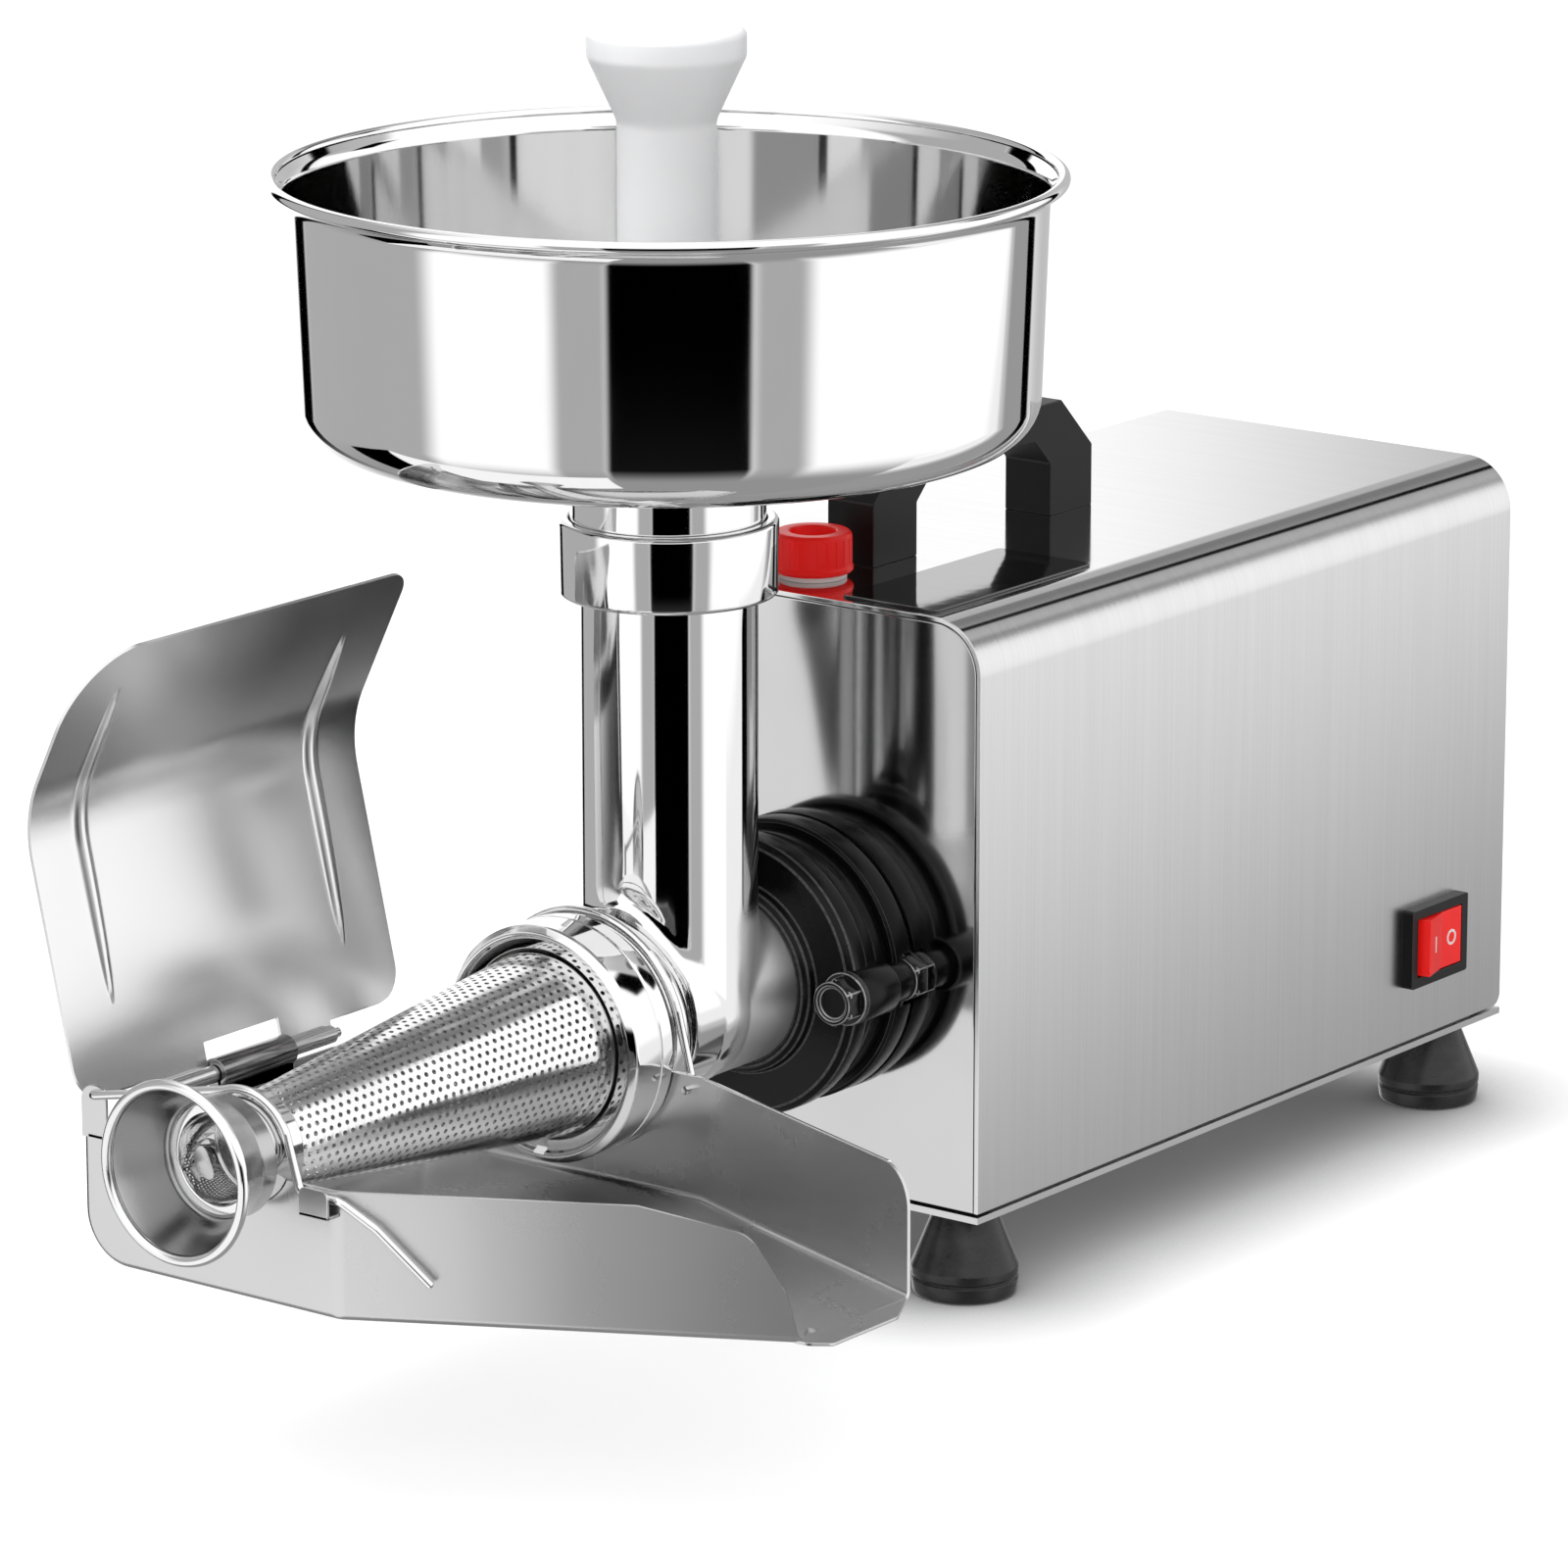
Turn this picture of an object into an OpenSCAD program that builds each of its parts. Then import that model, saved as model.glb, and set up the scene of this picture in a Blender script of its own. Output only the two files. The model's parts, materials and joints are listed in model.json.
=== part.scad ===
/* [Housing] */
// Width of the motor housing
housing_w = 146; // [142:1:156]
// Length of the motor housing
housing_l = 282; // [276:1:310]
// Height of the motor housing above the feet
housing_h = 179; // [175:1:190]
// Radius of the two long bends along the top
bend_r = 16; // [10:1:20]
// Thickness of the housing sheet
sheet_t = 1.5; // [1:0.1:2]
// Step from the middle of the housing to the barrel axis
axis_step = 8; // [4:1:10]
// Height of the rubber feet
foot_h = 27; // [22:1:32]
// Radius of a foot at the floor
foot_r = 16; // [13:0.5:18]

/* [Handle and top] */
// Width of the carrying handle
handle_w = 17; // [14:0.5:22]
// Length of the carrying handle
handle_l = 111; // [105:1:120]
// Height of the carrying handle
handle_h = 35; // [32:1:42]
// Length of one handle pillar
pillar_l = 21.5; // [18:0.5:25]
// Distance from the front panel to the handle
handle_back = 40; // [38:1:50]
// Length of the plate on the top
label_l = 78; // [60:1:90]
// Width of the plate on the top
label_w = 34; // [25:1:38]
// Radius of the vent plug head
plug_r = 12; // [10:0.5:13]
// Height of the vent plug head
plug_h = 12; // [9:0.5:14]

/* [Switch] */
// Length of the switch bezel
bezel_l = 31.4; // [30:0.1:34]
// Height of the switch bezel
bezel_h = 25.2; // [24:0.1:28]
// How far the bezel stands out of the side
bezel_out = 4; // [2:0.5:5]

/* [Barrel] */
// Height of the barrel axis above the floor
axis_h = 98; // [96:1:104]
// Outer radius of the barrel
barrel_r = 25; // [24:0.5:26]
// Inner radius of the barrel
bore_r = 21.5; // [20:0.5:22]
// Reach of the barrel's end in front of the panel
barrel_reach = 113; // [110:1:118]
// Outer radius of the black flanges
flange_r = 42; // [40:0.5:44]
// Depth of both black flanges together
flange_depth = 30; // [28:1:34]

/* [Feed tube] */
// Distance of the feed tube axis in front of the panel
tube_reach = 61.5; // [58:0.5:64]
// Outer radius of the feed tube
tube_r = 25.5; // [25:0.5:27]
// Inner radius of the feed tube
tube_bore_r = 23; // [20:0.5:23.5]
// Height of the collar's top above the floor
collar_top = 240; // [235:1:250]
// Outer radius of the collar
collar_r = 31.5; // [30:0.5:34]
// Height of the collar
collar_h = 22; // [18:1:26]

/* [Hopper] */
// Outer radius of the hopper's rolled rim
rim_r = 113; // [105:1:125]
// Outer radius of the hopper's wall at the top
hopper_r = 107.5; // [100:0.5:118]
// Outer radius of the hopper's wall at the bottom
hopper_low_r = 105; // [98:0.5:112]
// Depth of the hopper
hopper_h = 76; // [60:1:100]
// Length of the neck between collar and hopper
neck_show = 23; // [15:1:30]
// Radius of the bend round the hopper's bottom
hopper_bend_r = 14; // [8:1:20]

/* [Pusher] */
// Radius of the pusher's lower stem
stem_r = 16.2; // [14:0.1:17]
// Radius of the pusher's flange
pusher_flange_r = 28; // [27:0.5:32]
// Height of the pusher above the hopper's floor
pusher_up = 118; // [100:1:140]
// Length of the pusher below its flange
pusher_down = 89; // [70:1:95]
// Radius of the pusher's knob at its top
knob_r = 22.5; // [18:0.5:25]

/* [Screen and outlet] */
// Outer radius of the screen at the nut
screen_r = 27; // [26:0.5:28]
// Outer radius of the screen at the nose
screen_tip_r = 13.2; // [12:0.1:14]
// Reach of the screen's tip in front of the panel
screen_reach = 244; // [240:1:252]
// Outer radius of the collar nut
nut_r = 34.5; // [34:0.5:37]
// Length of the collar nut
nut_l = 18.5; // [16:0.5:22]
// Radius of one screen hole in the solid
screen_hole_r = 1.5; // [1:0.1:1.8]
// Number of screen holes round one row
screen_round = 16; // [12:2:20]
// Number of rows of screen holes
screen_rows = 13; // [8:1:15]
// Outer radius of the nose ring
nose_r = 15.2; // [14.6:0.1:16]
// Length of the nose ring past the screen's tip
nose_reach = 15.5; // [14:0.5:20]
// Outer radius of the waste funnel's rim
funnel_r = 25.8; // [22:0.1:30]
// Length of the waste funnel past the nose ring
funnel_reach = 17.5; // [14.5:0.5:25.5]

/* [Tray] */
// Height of the tray's floor above the ground
tray_floor = 55; // [52:1:58]
// Height of the tray's rim above the ground
tray_rim = 91.5; // [88:0.5:93]
// Thickness of the tray and lid sheet
tray_t = 1; // [0.8:0.1:1.2]
// Distance from the screen's tip to the tray's front wall
tray_front = 2; // [1:0.5:3]
// Distance from the barrel axis to the hinge wall
tray_far = 60; // [56:1:64]
// Distance from the barrel axis to the front corner
tray_near = 31; // [26:1:36]
// Distance from the barrel axis to the spout's mouth
spout_reach = 142; // [125:1:150]
// Length of the lip under the spout's mouth
spout_lip = 6; // [3:0.5:10]
// Radius of the bail wires
wire_r = 1.25; // [1:0.05:1.4]

/* [Lid] */
// Step from the tray's front wall to the lid's front edge
lid_front = 3.5; // [2:0.5:8]
// Step from the tray's rear wall to the lid's rear edge
lid_rear = 4.1; // [3:0.1:10]
// Length of the lid's flat part above its hinge
lid_flat = 72; // [66:1:74]
// Outer radius of the lid's bend
lid_bend_r = 35; // [20:1:40]
// Length of the lid's upper part
lid_upper = 41; // [30:1:50]
// Lean of the open lid away from upright, in degrees
lid_lean = 13; // [8:1:16]
// Turn of the lid's bend, in degrees
lid_bend = 39; // [30:1:42]

/* [Gearing] */
// Teeth of the output gear
output_teeth = 42; // [42:1:42]
// Teeth of the idler's small gear
idler_small_teeth = 14; // [14:1:14]
// Teeth of the idler's large gear
idler_large_teeth = 48; // [48:1:48]
// Teeth of the motor pinion
pinion_teeth = 12; // [12:1:12]
// Module of the slow gear pair
slow_module = 2; // [2:0.1:2.05]
// Module of the fast gear pair
fast_module = 1.25; // [1.2:0.05:1.3]
// Outer radius of the motor
motor_r = 52; // [46:1:54]
// Length of the motor
motor_l = 118; // [100:1:130]

/* [Hidden] */
$fn = 72;

// One overrun for every cut, one chamfer for small edges, and the clearances of the fits
over = 1;
chamfer = 1;
run_fit = 0.06;
part_gap = 0.3;
push_fit = 0.1;

// Where the barrel axis and the front panel stand in the part's own frame
axis_x = (rim_r - spout_reach - spout_lip) / 2;
gland_out = 12;
nose_front = screen_reach + nose_reach;
funnel_front = nose_front + funnel_reach;
panel_y = (funnel_front - housing_l - gland_out) / 2;

// Heights of the housing
base_t = 2;
base_lip = 8;
shadow_gap = 1;
shell_z = foot_h + base_t + shadow_gap;
top_z = foot_h + housing_h;
shell_h = top_z - shell_z;
mid_x = -axis_step;
side_x = mid_x + housing_w / 2;

// Screws of the housing
screw_r = 2;
screw_head_r = 3.8;
screw_head_h = 1.8;
screw_l = 8;
flange_w = 12;

// Gear positions in the plane across the barrel axis
pressure = 20;
backlash = 0.25;
idler_turn = 130;
motor_turn = 0;
slow_centre = slow_module * (output_teeth + idler_small_teeth) / 2;
fast_centre = fast_module * (idler_large_teeth + pinion_teeth) / 2;
idler_x = slow_centre * cos(idler_turn);
idler_z = axis_h + slow_centre * sin(idler_turn);
motor_x = idler_x + fast_centre * cos(motor_turn);
motor_z = idler_z + fast_centre * sin(motor_turn);

// Depths of the gearbox behind the front panel
case_y = sheet_t + 1;
case_wall = 9;
slow_w = 12;
fast_w = 8;
gear_gap = 2;
slow_y = case_y + case_wall + gear_gap;
fast_y = slow_y + slow_w + gear_gap * 2;
cover_y = fast_y + fast_w + gear_gap;
cover_t = 10;
case_rim = 4;
tip_room = 2.5;
motor_y = cover_y + cover_t;

// Shafts and bearings
shaft_r = 10;
idler_shaft_r = 6;
motor_shaft_r = 6;
bearing_r = 19;
bearing_w = 8;
small_bearing_r = 14;
small_bearing_w = 7;

// Forward places along the barrel axis
seal_w = 7;
nut_past = 8.5;
nut_front = barrel_reach + nut_past;
nut_back = nut_front - nut_l;
lip_t = 3;
thread_r = 31;
flare_r = 33;
flare_l = 5;
flare_back = 30;
flare_from = barrel_reach - flare_back;
groove_w = 2;
flare_front = nut_back - groove_w;
gasket_t = 1.5;
screen_flange_t = 2;
screen_wall = 0.8;
screen_back = barrel_reach + gasket_t + screen_flange_t;
tray_fore = screen_reach + tray_front;
tray_rear = nut_back - tray_t - part_gap * 2;
lid_fore = tray_fore - lid_front;
lid_aft = tray_rear + lid_rear;

// Moves a piece from the barrel axis and front panel into the part's frame
module place()
    translate([axis_x, panel_y, 0]) children();

// Extrudes an outline drawn across the machine, from one depth backwards
module along_y(from, len)
    translate([0, from + len, 0]) rotate([90, 0, 0]) linear_extrude(len) children();

// Turns an outline of radius and forward reach about the barrel axis
module turned()
    translate([0, 0, axis_h]) rotate([90, 0, 0]) rotate_extrude() children();

// A round bar that runs backwards from one depth
module bar_y(x, z, from, len, r)
    translate([x, from + len, z]) rotate([90, 0, 0]) cylinder(h = len, r = r);

// A round bar that runs forwards from one reach
module bar_fwd(x, z, from, len, r)
    translate([x, -from, z]) rotate([90, 0, 0]) cylinder(h = len, r = r);

// A rectangle with round corners
module round_rect(w, h, r) {
    translate([-w / 2 + r, -h / 2]) square([w - 2 * r, h]);
    translate([-w / 2, -h / 2 + r]) square([w, h - 2 * r]);
    for (x = [-1, 1], y = [-1, 1])
        translate([x * (w / 2 - r), y * (h / 2 - r)]) circle(r);
}

// The housing's outline, flat below and rounded along both top edges
module arch(w, h, r) {
    translate([-w / 2, 0]) square([w, h - r]);
    translate([-w / 2 + r, 0]) square([w - 2 * r, h]);
    for (x = [-1, 1]) translate([x * (w / 2 - r), h - r]) circle(r);
}

// A straight length of wire between two points, with a round knuckle at its end
knuckle_share = 1.02;
module wire_leg(a, b, r) {
    d = b - a;
    l = norm(d);
    translate(a) rotate([0, acos(d[2] / l), atan2(d[1], d[0])]) cylinder(h = l, r = r);
    translate(b) sphere(r * knuckle_share);
}

// A bent wire through a list of points
module wire(points, r) {
    for (i = [1 : len(points) - 1]) wire_leg(points[i - 1], points[i], r);
}

// A wire arc about the barrel axis, at one reach
module wire_arc(arc_r, from, to, reach, r)
    translate([0, -reach, axis_h]) rotate([90, 0, 0]) rotate([0, 0, from])
        rotate_extrude(angle = to - from) translate([arc_r, 0]) circle(r, $fn = 32);

// The point on such an arc at one angle
function arc_point(arc_r, a, reach) = [arc_r * cos(a), -reach, axis_h + arc_r * sin(a)];

// A screw head with its shank, pointing up along Z from its head
module screw(head_r, head_h, r, l) {
    cylinder(h = head_h, r = head_r);
    cylinder(h = head_h + l, r = r);
}

// Angle of the involute at a pressure angle, in degrees
function involute(a) = tan(a) * 180 / PI - a;

// Half the angle that a tooth takes up at one radius
function half_tooth(teeth, pitch, r) =
    90 / teeth - backlash / 4 / pitch * 180 / PI + involute(pressure)
    - involute(acos(min(1, pitch * cos(pressure) / r)));

// Outline points of one spur gear
root_share = 1.25;
function gear_points(teeth, mod, steps) =
    let (pitch = teeth * mod / 2,
        base = pitch * cos(pressure),
        root = pitch - root_share * mod,
        tip = pitch + mod,
        low = max(base, root))
    [for (t = [0 : teeth - 1])
        let (a = t * 360 / teeth)
        for (p = concat(
            [[root, -half_tooth(teeth, pitch, low)]],
            [for (i = [0 : steps]) let (r = low + (tip - low) * i / steps)
                [r, -half_tooth(teeth, pitch, r)]],
            [for (i = [0 : steps]) let (r = tip - (tip - low) * i / steps)
                [r, half_tooth(teeth, pitch, r)]],
            [[root, half_tooth(teeth, pitch, low)]]))
        [p[0] * cos(a + p[1]), p[0] * sin(a + p[1])]];

// A spur gear along Y at one place, with one tooth at the angle given
module gear(x, z, from, len, teeth, mod, turn, hole)
    translate([x, from + len, z]) rotate([90, 0, 0]) linear_extrude(len)
        difference() {
            rotate(turn) polygon(gear_points(teeth, mod, 3));
            circle(hole);
        }

// Sizes of the rear panel's vents and the side's switch
vent_w = 44;
vent_h = 3.5;
vent_pitch = 9;
vent_count = 9;
vent_shift = 4;
vent_x = mid_x + vent_shift;
vent_z = motor_z - (vent_count - 1) * vent_pitch / 2;
switch_inset = 42;
switch_up = 33.5;
switch_y = housing_l - switch_inset;
switch_z = foot_h + switch_up;
bezel_rim = 1.7;
switch_deep = 18;
hole_fit = 0.2;
plug_shift = 3;
plug_x = mid_x - plug_shift;
plug_y = 21;
plug_neck_r = 7;
gasket_r = 10;
gasket_h = 1.5;
handle_shift = 3.5;
handle_x = mid_x - handle_shift;
gland_inset = 25;
gland_up = 30;
gland_x = side_x - gland_inset;
gland_z = foot_h + gland_up;
gland_r = 8;
gland_nut_share = 1.4;
gland_lock_share = 1.35;
cord_r = 3.6;

// Middle places of the four feet
foot_inset = 16;
foot_places = [for (x = [-1, 1], y = [0, 1])
    [mid_x + x * (housing_w / 2 - foot_inset), foot_inset + y * (housing_l - 2 * foot_inset)]];

module housing_shell() place() color("silver") difference() {
    translate([mid_x, 0, shell_z]) along_y(0, housing_l) arch(housing_w, shell_h, bend_r);
    translate([mid_x, 0, shell_z - over]) along_y(-over, housing_l + 2 * over)
        arch(housing_w - 2 * sheet_t, shell_h + over - sheet_t, bend_r - sheet_t);
    // Opening for the switch body
    translate([side_x, switch_y, switch_z])
        cube([4 * sheet_t, switch_cut_l, switch_cut_h], center = true);
    // Hole for the vent plug
    translate([plug_x, plug_y, top_z - sheet_t - over])
        cylinder(h = sheet_t + 2 * over, r = plug_neck_r + hole_fit);
    // Holes for the handle screws
    for (y = handle_screw_places)
        translate([handle_x, y, top_z - sheet_t - over])
            cylinder(h = sheet_t + 2 * over, r = screw_r + hole_fit);
}

switch_cut_l = bezel_l - 2 * bezel_rim + 2 * hole_fit;
switch_cut_h = bezel_h - 2 * bezel_rim + 2 * hole_fit;
handle_screw_places = [handle_back + pillar_l / 2, handle_back + handle_l - pillar_l / 2];

// Places of the screws that hold the base plate to the panels' lower flanges
base_screw_share = 0.27;
base_screw_places = [for (s = [-1, 1], y = [flange_w / 2, housing_l - flange_w / 2])
    [mid_x + s * base_screw_share * housing_w, y]];

panel_fit = 0.2;
module panel(y) translate([mid_x, 0, shell_z]) along_y(y, sheet_t)
    arch(housing_w - 2 * sheet_t - 2 * panel_fit, shell_h - sheet_t - panel_fit,
        bend_r - sheet_t - panel_fit);

// Flanges along a panel's upright edges and its foot, from one depth backwards
module panel_flanges(y, foot_y) {
    w = housing_w - 2 * sheet_t - 2 * panel_fit;
    for (x = [-w / 2, w / 2 - sheet_t])
        translate([mid_x + x, y, shell_z]) cube([sheet_t, flange_w, shell_h - bend_r]);
    translate([mid_x - w / 2 + flange_w, foot_y, foot_h + base_t])
        cube([w - 2 * flange_w, flange_w - sheet_t / 2, shadow_gap + sheet_t]);
}

neck_r = 32;
module front_panel() place() color("gainsboro") difference() {
    union() {
        panel(0);
        panel_flanges(0, sheet_t / 2);
    }
    base_screw_holes(foot_h + base_t);
    bar_y(0, axis_h, -over, sheet_t + 2 * over, neck_r + hole_fit);
    for (x = [-1, 1])
        bar_y(x * bolt_reach, axis_h, -over, sheet_t + 2 * over, bolt_r + hole_fit);
}

module rear_panel() place() color("silver") difference() {
    union() {
        panel(housing_l - sheet_t);
        panel_flanges(housing_l - flange_w, housing_l - flange_w);
    }
    base_screw_holes(foot_h + base_t);
    for (i = [0 : vent_count - 1]) translate([vent_x, 0, vent_z + i * vent_pitch])
        along_y(housing_l - sheet_t - over, sheet_t + 2 * over)
            round_rect(vent_w * 2, vent_h, vent_h / 2 - part_gap / 2);
    bar_y(gland_x, gland_z, housing_l - sheet_t - over, sheet_t + 2 * over, gland_r + hole_fit);
}

module base_plate() place() color("dimgray") difference() {
    union() {
        translate([mid_x - housing_w / 2, 0, foot_h]) cube([housing_w, housing_l, base_t]);
        // Upright flanges that stand inside the shell
        for (s = [-1, 1])
            translate([mid_x + s * (housing_w / 2 - sheet_t * 2 - panel_fit * 2) - (s + 1) / 2 * sheet_t,
                flange_w, foot_h]) cube([sheet_t, housing_l - 2 * flange_w, base_t + shadow_gap + base_lip]);
    }
    for (p = foot_places) translate([p[0], p[1], foot_h - over])
        cylinder(h = base_t + 2 * over, r = screw_r + hole_fit);
    base_screw_holes(foot_h);
    // Air slots under the motor
    for (i = [-3 : 3]) translate([mid_x, motor_y + motor_l / 2 + i * vent_pitch, foot_h - over])
        linear_extrude(base_t + 2 * over) round_rect(vent_w, vent_h, vent_h / 2 - part_gap / 2);
}

module base_screw_holes(z) for (p = base_screw_places) translate([p[0], p[1], z - over])
    cylinder(h = base_t + shadow_gap + sheet_t + over, r = screw_r + hole_fit);

module base_screws() place() color("silver") for (p = base_screw_places)
    translate([p[0], p[1], foot_h - screw_head_h]) screw(screw_head_r, screw_head_h, screw_r, screw_l);

// Profile of one foot: a floor lip, a waist and a narrower top
foot_top_share = 0.72;
foot_lip_share = 0.26;
foot_top_r = foot_r * foot_top_share;
foot_lip_h = foot_h * foot_lip_share;
foot_bore_r = 5;
module feet() place() color("black") for (p = foot_places) translate([p[0], p[1], 0])
    difference() {
        rotate_extrude() polygon([[0, 0], [foot_r - chamfer, 0], [foot_r, chamfer],
            [foot_r, foot_lip_h - chamfer], [foot_r - chamfer, foot_lip_h],
            [foot_top_r + chamfer, foot_lip_h + chamfer], [foot_top_r, foot_h - chamfer],
            [foot_top_r - chamfer / 2, foot_h], [0, foot_h]]);
        translate([0, 0, -over]) cylinder(h = foot_lip_h + over, r = foot_bore_r);
        cylinder(h = foot_h + over, r = screw_r + hole_fit);
    }

module foot_screws() place() color("silver")
    for (p = foot_places) translate([p[0], p[1], foot_lip_h - screw_head_h])
        union() {
            screw(screw_head_r, screw_head_h, screw_r, foot_h - foot_lip_h + base_t + screw_l / 2);
            translate([0, 0, foot_h + base_t - foot_lip_h + screw_head_h])
                cylinder(h = screw_l / 2, r = screw_head_r, $fn = 6);
        }

// Side view of the handle, with bevelled outer corners and a finger gap
bevel_share = 0.46;
module handle_side() {
    c = handle_h * bevel_share;
    g = handle_h - pillar_l / 2;
    difference() {
        polygon([[0, 0], [handle_l, 0], [handle_l, handle_h - c], [handle_l - c, handle_h],
            [c, handle_h], [0, handle_h - c]]);
        polygon([[pillar_l, -over], [handle_l - pillar_l, -over],
            [handle_l - pillar_l, g - c / 2], [handle_l - pillar_l - c / 2, g],
            [pillar_l + c / 2, g], [pillar_l, g - c / 2]]);
    }
}

module handle() place() color("black") difference() {
    translate([handle_x + handle_w / 2, handle_back, top_z])
        rotate([90, 0, 0]) rotate([0, -90, 0])
            linear_extrude(handle_w) mirror([1, 0]) handle_side();
    for (y = handle_screw_places) translate([handle_x, y, top_z - over])
        cylinder(h = over + screw_l, r = screw_r);
}

module handle_screws() place() color("silver")
    for (y = handle_screw_places)
        translate([handle_x, y, top_z - sheet_t - screw_head_h])
            screw(screw_head_r, screw_head_h, screw_r, sheet_t + screw_l);

label_t = 0.8;
label_inset = 3;
label_x = side_x - bend_r - label_w / 2 - label_inset;
label_y = 4;
module label_plate() place() color("black")
    translate([label_x, label_y + label_l / 2, top_z]) linear_extrude(label_t)
        round_rect(label_w, label_l, chamfer * 2);

// Switch: a bezel box in the side wall, with a rocker on an upright pin
rocker_gap = 0.4;
body_wall = 1.4;
body_l = bezel_l - 2 * bezel_rim;
body_h = bezel_h - 2 * bezel_rim;
rocker_l = body_l - 2 * body_wall - 2 * rocker_gap;
rocker_h = body_h - 2 * body_wall - 2 * rocker_gap;
rocker_tilt = 7;
pivot_r = 1.5;
pivot_l = body_h - body_wall;
pivot_x = side_x - 2 * pivot_r;
module switch_bezel() place() color("black") difference() {
    union() {
        translate([side_x, switch_y, switch_z]) rotate([0, 90, 0])
            linear_extrude(bezel_out) round_rect(bezel_h, bezel_l, chamfer);
        translate([side_x - switch_deep, switch_y - body_l / 2, switch_z - body_h / 2])
            cube([switch_deep, body_l, body_h]);
    }
    translate([side_x - switch_deep / 2, switch_y - body_l / 2 + body_wall,
        switch_z - body_h / 2 + body_wall])
        cube([switch_deep, body_l - 2 * body_wall, body_h - 2 * body_wall]);
    translate([pivot_x, switch_y, switch_z])
        cylinder(h = pivot_l + 2 * run_fit, r = pivot_r + run_fit, center = true);
}

// Two flat faces that meet in a shallow valley, seen from above
module rocker_outline() {
    h = rocker_l / 2;
    d = bezel_out + side_x - pivot_x;
    e = h * tan(rocker_tilt);
    b = 2 * pivot_r;
    c = 3 * rocker_gap;
    polygon([[-b, -h + c], [0, -h + rocker_gap], [d + e, -h + c], [d, 0], [d + e, h - c],
        [0, h - rocker_gap], [-b, h - c]]);
}

module switch_rocker() place() color("red") translate([pivot_x, switch_y, switch_z]) {
    rotate([0, 0, rocker_tilt]) translate([0, 0, -rocker_h / 2])
        linear_extrude(rocker_h) rocker_outline();
    cylinder(h = pivot_l, r = pivot_r, center = true);
}

// Vent plug: a knurled head with a recess, on a threaded neck
knurls = 20;
knurl_r = 1;
plug_recess_h = 2;
plug_recess_share = 0.55;
knurl_share = 0.8;
plug_recess_r = plug_r * plug_recess_share;
module vent_plug() place() color("red") translate([plug_x, plug_y, top_z + gasket_h + part_gap])
    difference() {
        union() {
            cylinder(h = plug_h, r = plug_r);
            translate([0, 0, -gasket_h - plug_neck_l]) cylinder(h = plug_neck_l + gasket_h + over,
                r = plug_neck_r - part_gap);
        }
        translate([0, 0, plug_h - plug_recess_h]) cylinder(h = plug_recess_h + over, r = plug_recess_r);
        for (i = [0 : knurls - 1]) rotate(i * 360 / knurls)
            translate([plug_r + knurl_r / 4, 0, -over])
                cylinder(h = plug_h * knurl_share, r = knurl_r, $fn = 16);
    }
plug_neck_l = 14;

module vent_gasket() place() color("dimgray") translate([plug_x, plug_y, top_z]) difference() {
    cylinder(h = gasket_h, r = gasket_r);
    translate([0, 0, -over]) cylinder(h = gasket_h + 2 * over, r = plug_neck_r);
}

module cord_gland() place() color("black") difference() {
    union() {
        bar_y(gland_x, gland_z, housing_l, gland_out / 3, gland_r * gland_nut_share, $fn = 6);
        bar_y(gland_x, gland_z, housing_l, gland_out, gland_r);
        bar_y(gland_x, gland_z, housing_l - sheet_t - gland_out / 2, sheet_t + gland_out / 2, gland_r);
        bar_y(gland_x, gland_z, housing_l - sheet_t - gland_out / 3, gland_out / 3,
            gland_r * gland_lock_share);
    }
    bar_y(gland_x, gland_z, housing_l - gland_out, 3 * gland_out, cord_r);
}

// Outline of the gear room, grown by one distance
module gear_room(grow) {
    translate([0, axis_h]) circle(slow_module * (output_teeth + 2) / 2 + tip_room + grow);
    translate([idler_x, idler_z]) circle(fast_module * (idler_large_teeth + 2) / 2 + tip_room + grow);
    translate([motor_x, motor_z]) circle(fast_module * (pinion_teeth + 2) / 2 + tip_room + grow);
}

boss_top = top_z - sheet_t - 2 * over;
module gearbox_case() place() color("darkgray") difference() {
    union() {
        along_y(case_y, cover_y - case_y) gear_room(case_rim);
        // Boss under the vent plug
        translate([plug_x, plug_y, idler_z]) cylinder(h = boss_top - idler_z, r = plug_neck_r + case_rim);
        // Bosses for the flange bolts
        for (x = [-1, 1]) bar_y(x * bolt_reach, axis_h, case_y, case_wall, bolt_r * bolt_boss_share);
    }
    along_y(case_y + case_wall, cover_y - case_y) gear_room(0);
    // Seats of the front bearings
    bar_y(0, axis_h, case_y - over, over + case_wall * 2, shaft_r + gear_gap);
    bar_y(0, axis_h, case_y + case_wall - bearing_w, bearing_w + over, bearing_r);
    bar_y(idler_x, idler_z, case_y + case_wall - small_bearing_w, small_bearing_w + over, small_bearing_r);
    // Passage of the vent plug
    translate([plug_x, plug_y, idler_z]) cylinder(h = boss_top - idler_z + over, r = plug_neck_r);
    for (x = [-1, 1])
        bar_y(x * bolt_reach, axis_h, case_y - over, over + case_wall - over, bolt_r);
}

module gearbox_cover() place() color("darkgray") difference() {
    union() {
        along_y(cover_y, cover_t) gear_room(case_rim);
        bar_y(motor_x, motor_z, cover_y, cover_t, motor_r);
    }
    bar_y(0, axis_h, cover_y - over, bearing_w + over, bearing_r);
    bar_y(idler_x, idler_z, cover_y - over, small_bearing_w + over, small_bearing_r);
    bar_y(motor_x, motor_z, cover_y - over, cover_t + 2 * over, small_bearing_r + over);
}

// A bearing with its two rings and a recessed shield
ring_share = 0.3;
shield_share = 0.4;
shield_in = 0.5;
module bearing(x, z, from, w, r, hole) translate([x, from + w, z]) rotate([90, 0, 0])
    rotate_extrude() difference() {
        translate([hole + run_fit, 0]) square([r - hole - run_fit, w]);
        for (y = [-over, w - shield_in])
            translate([hole + (r - hole) * ring_share, y])
                square([(r - hole) * shield_share, over + shield_in]);
    }

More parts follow.
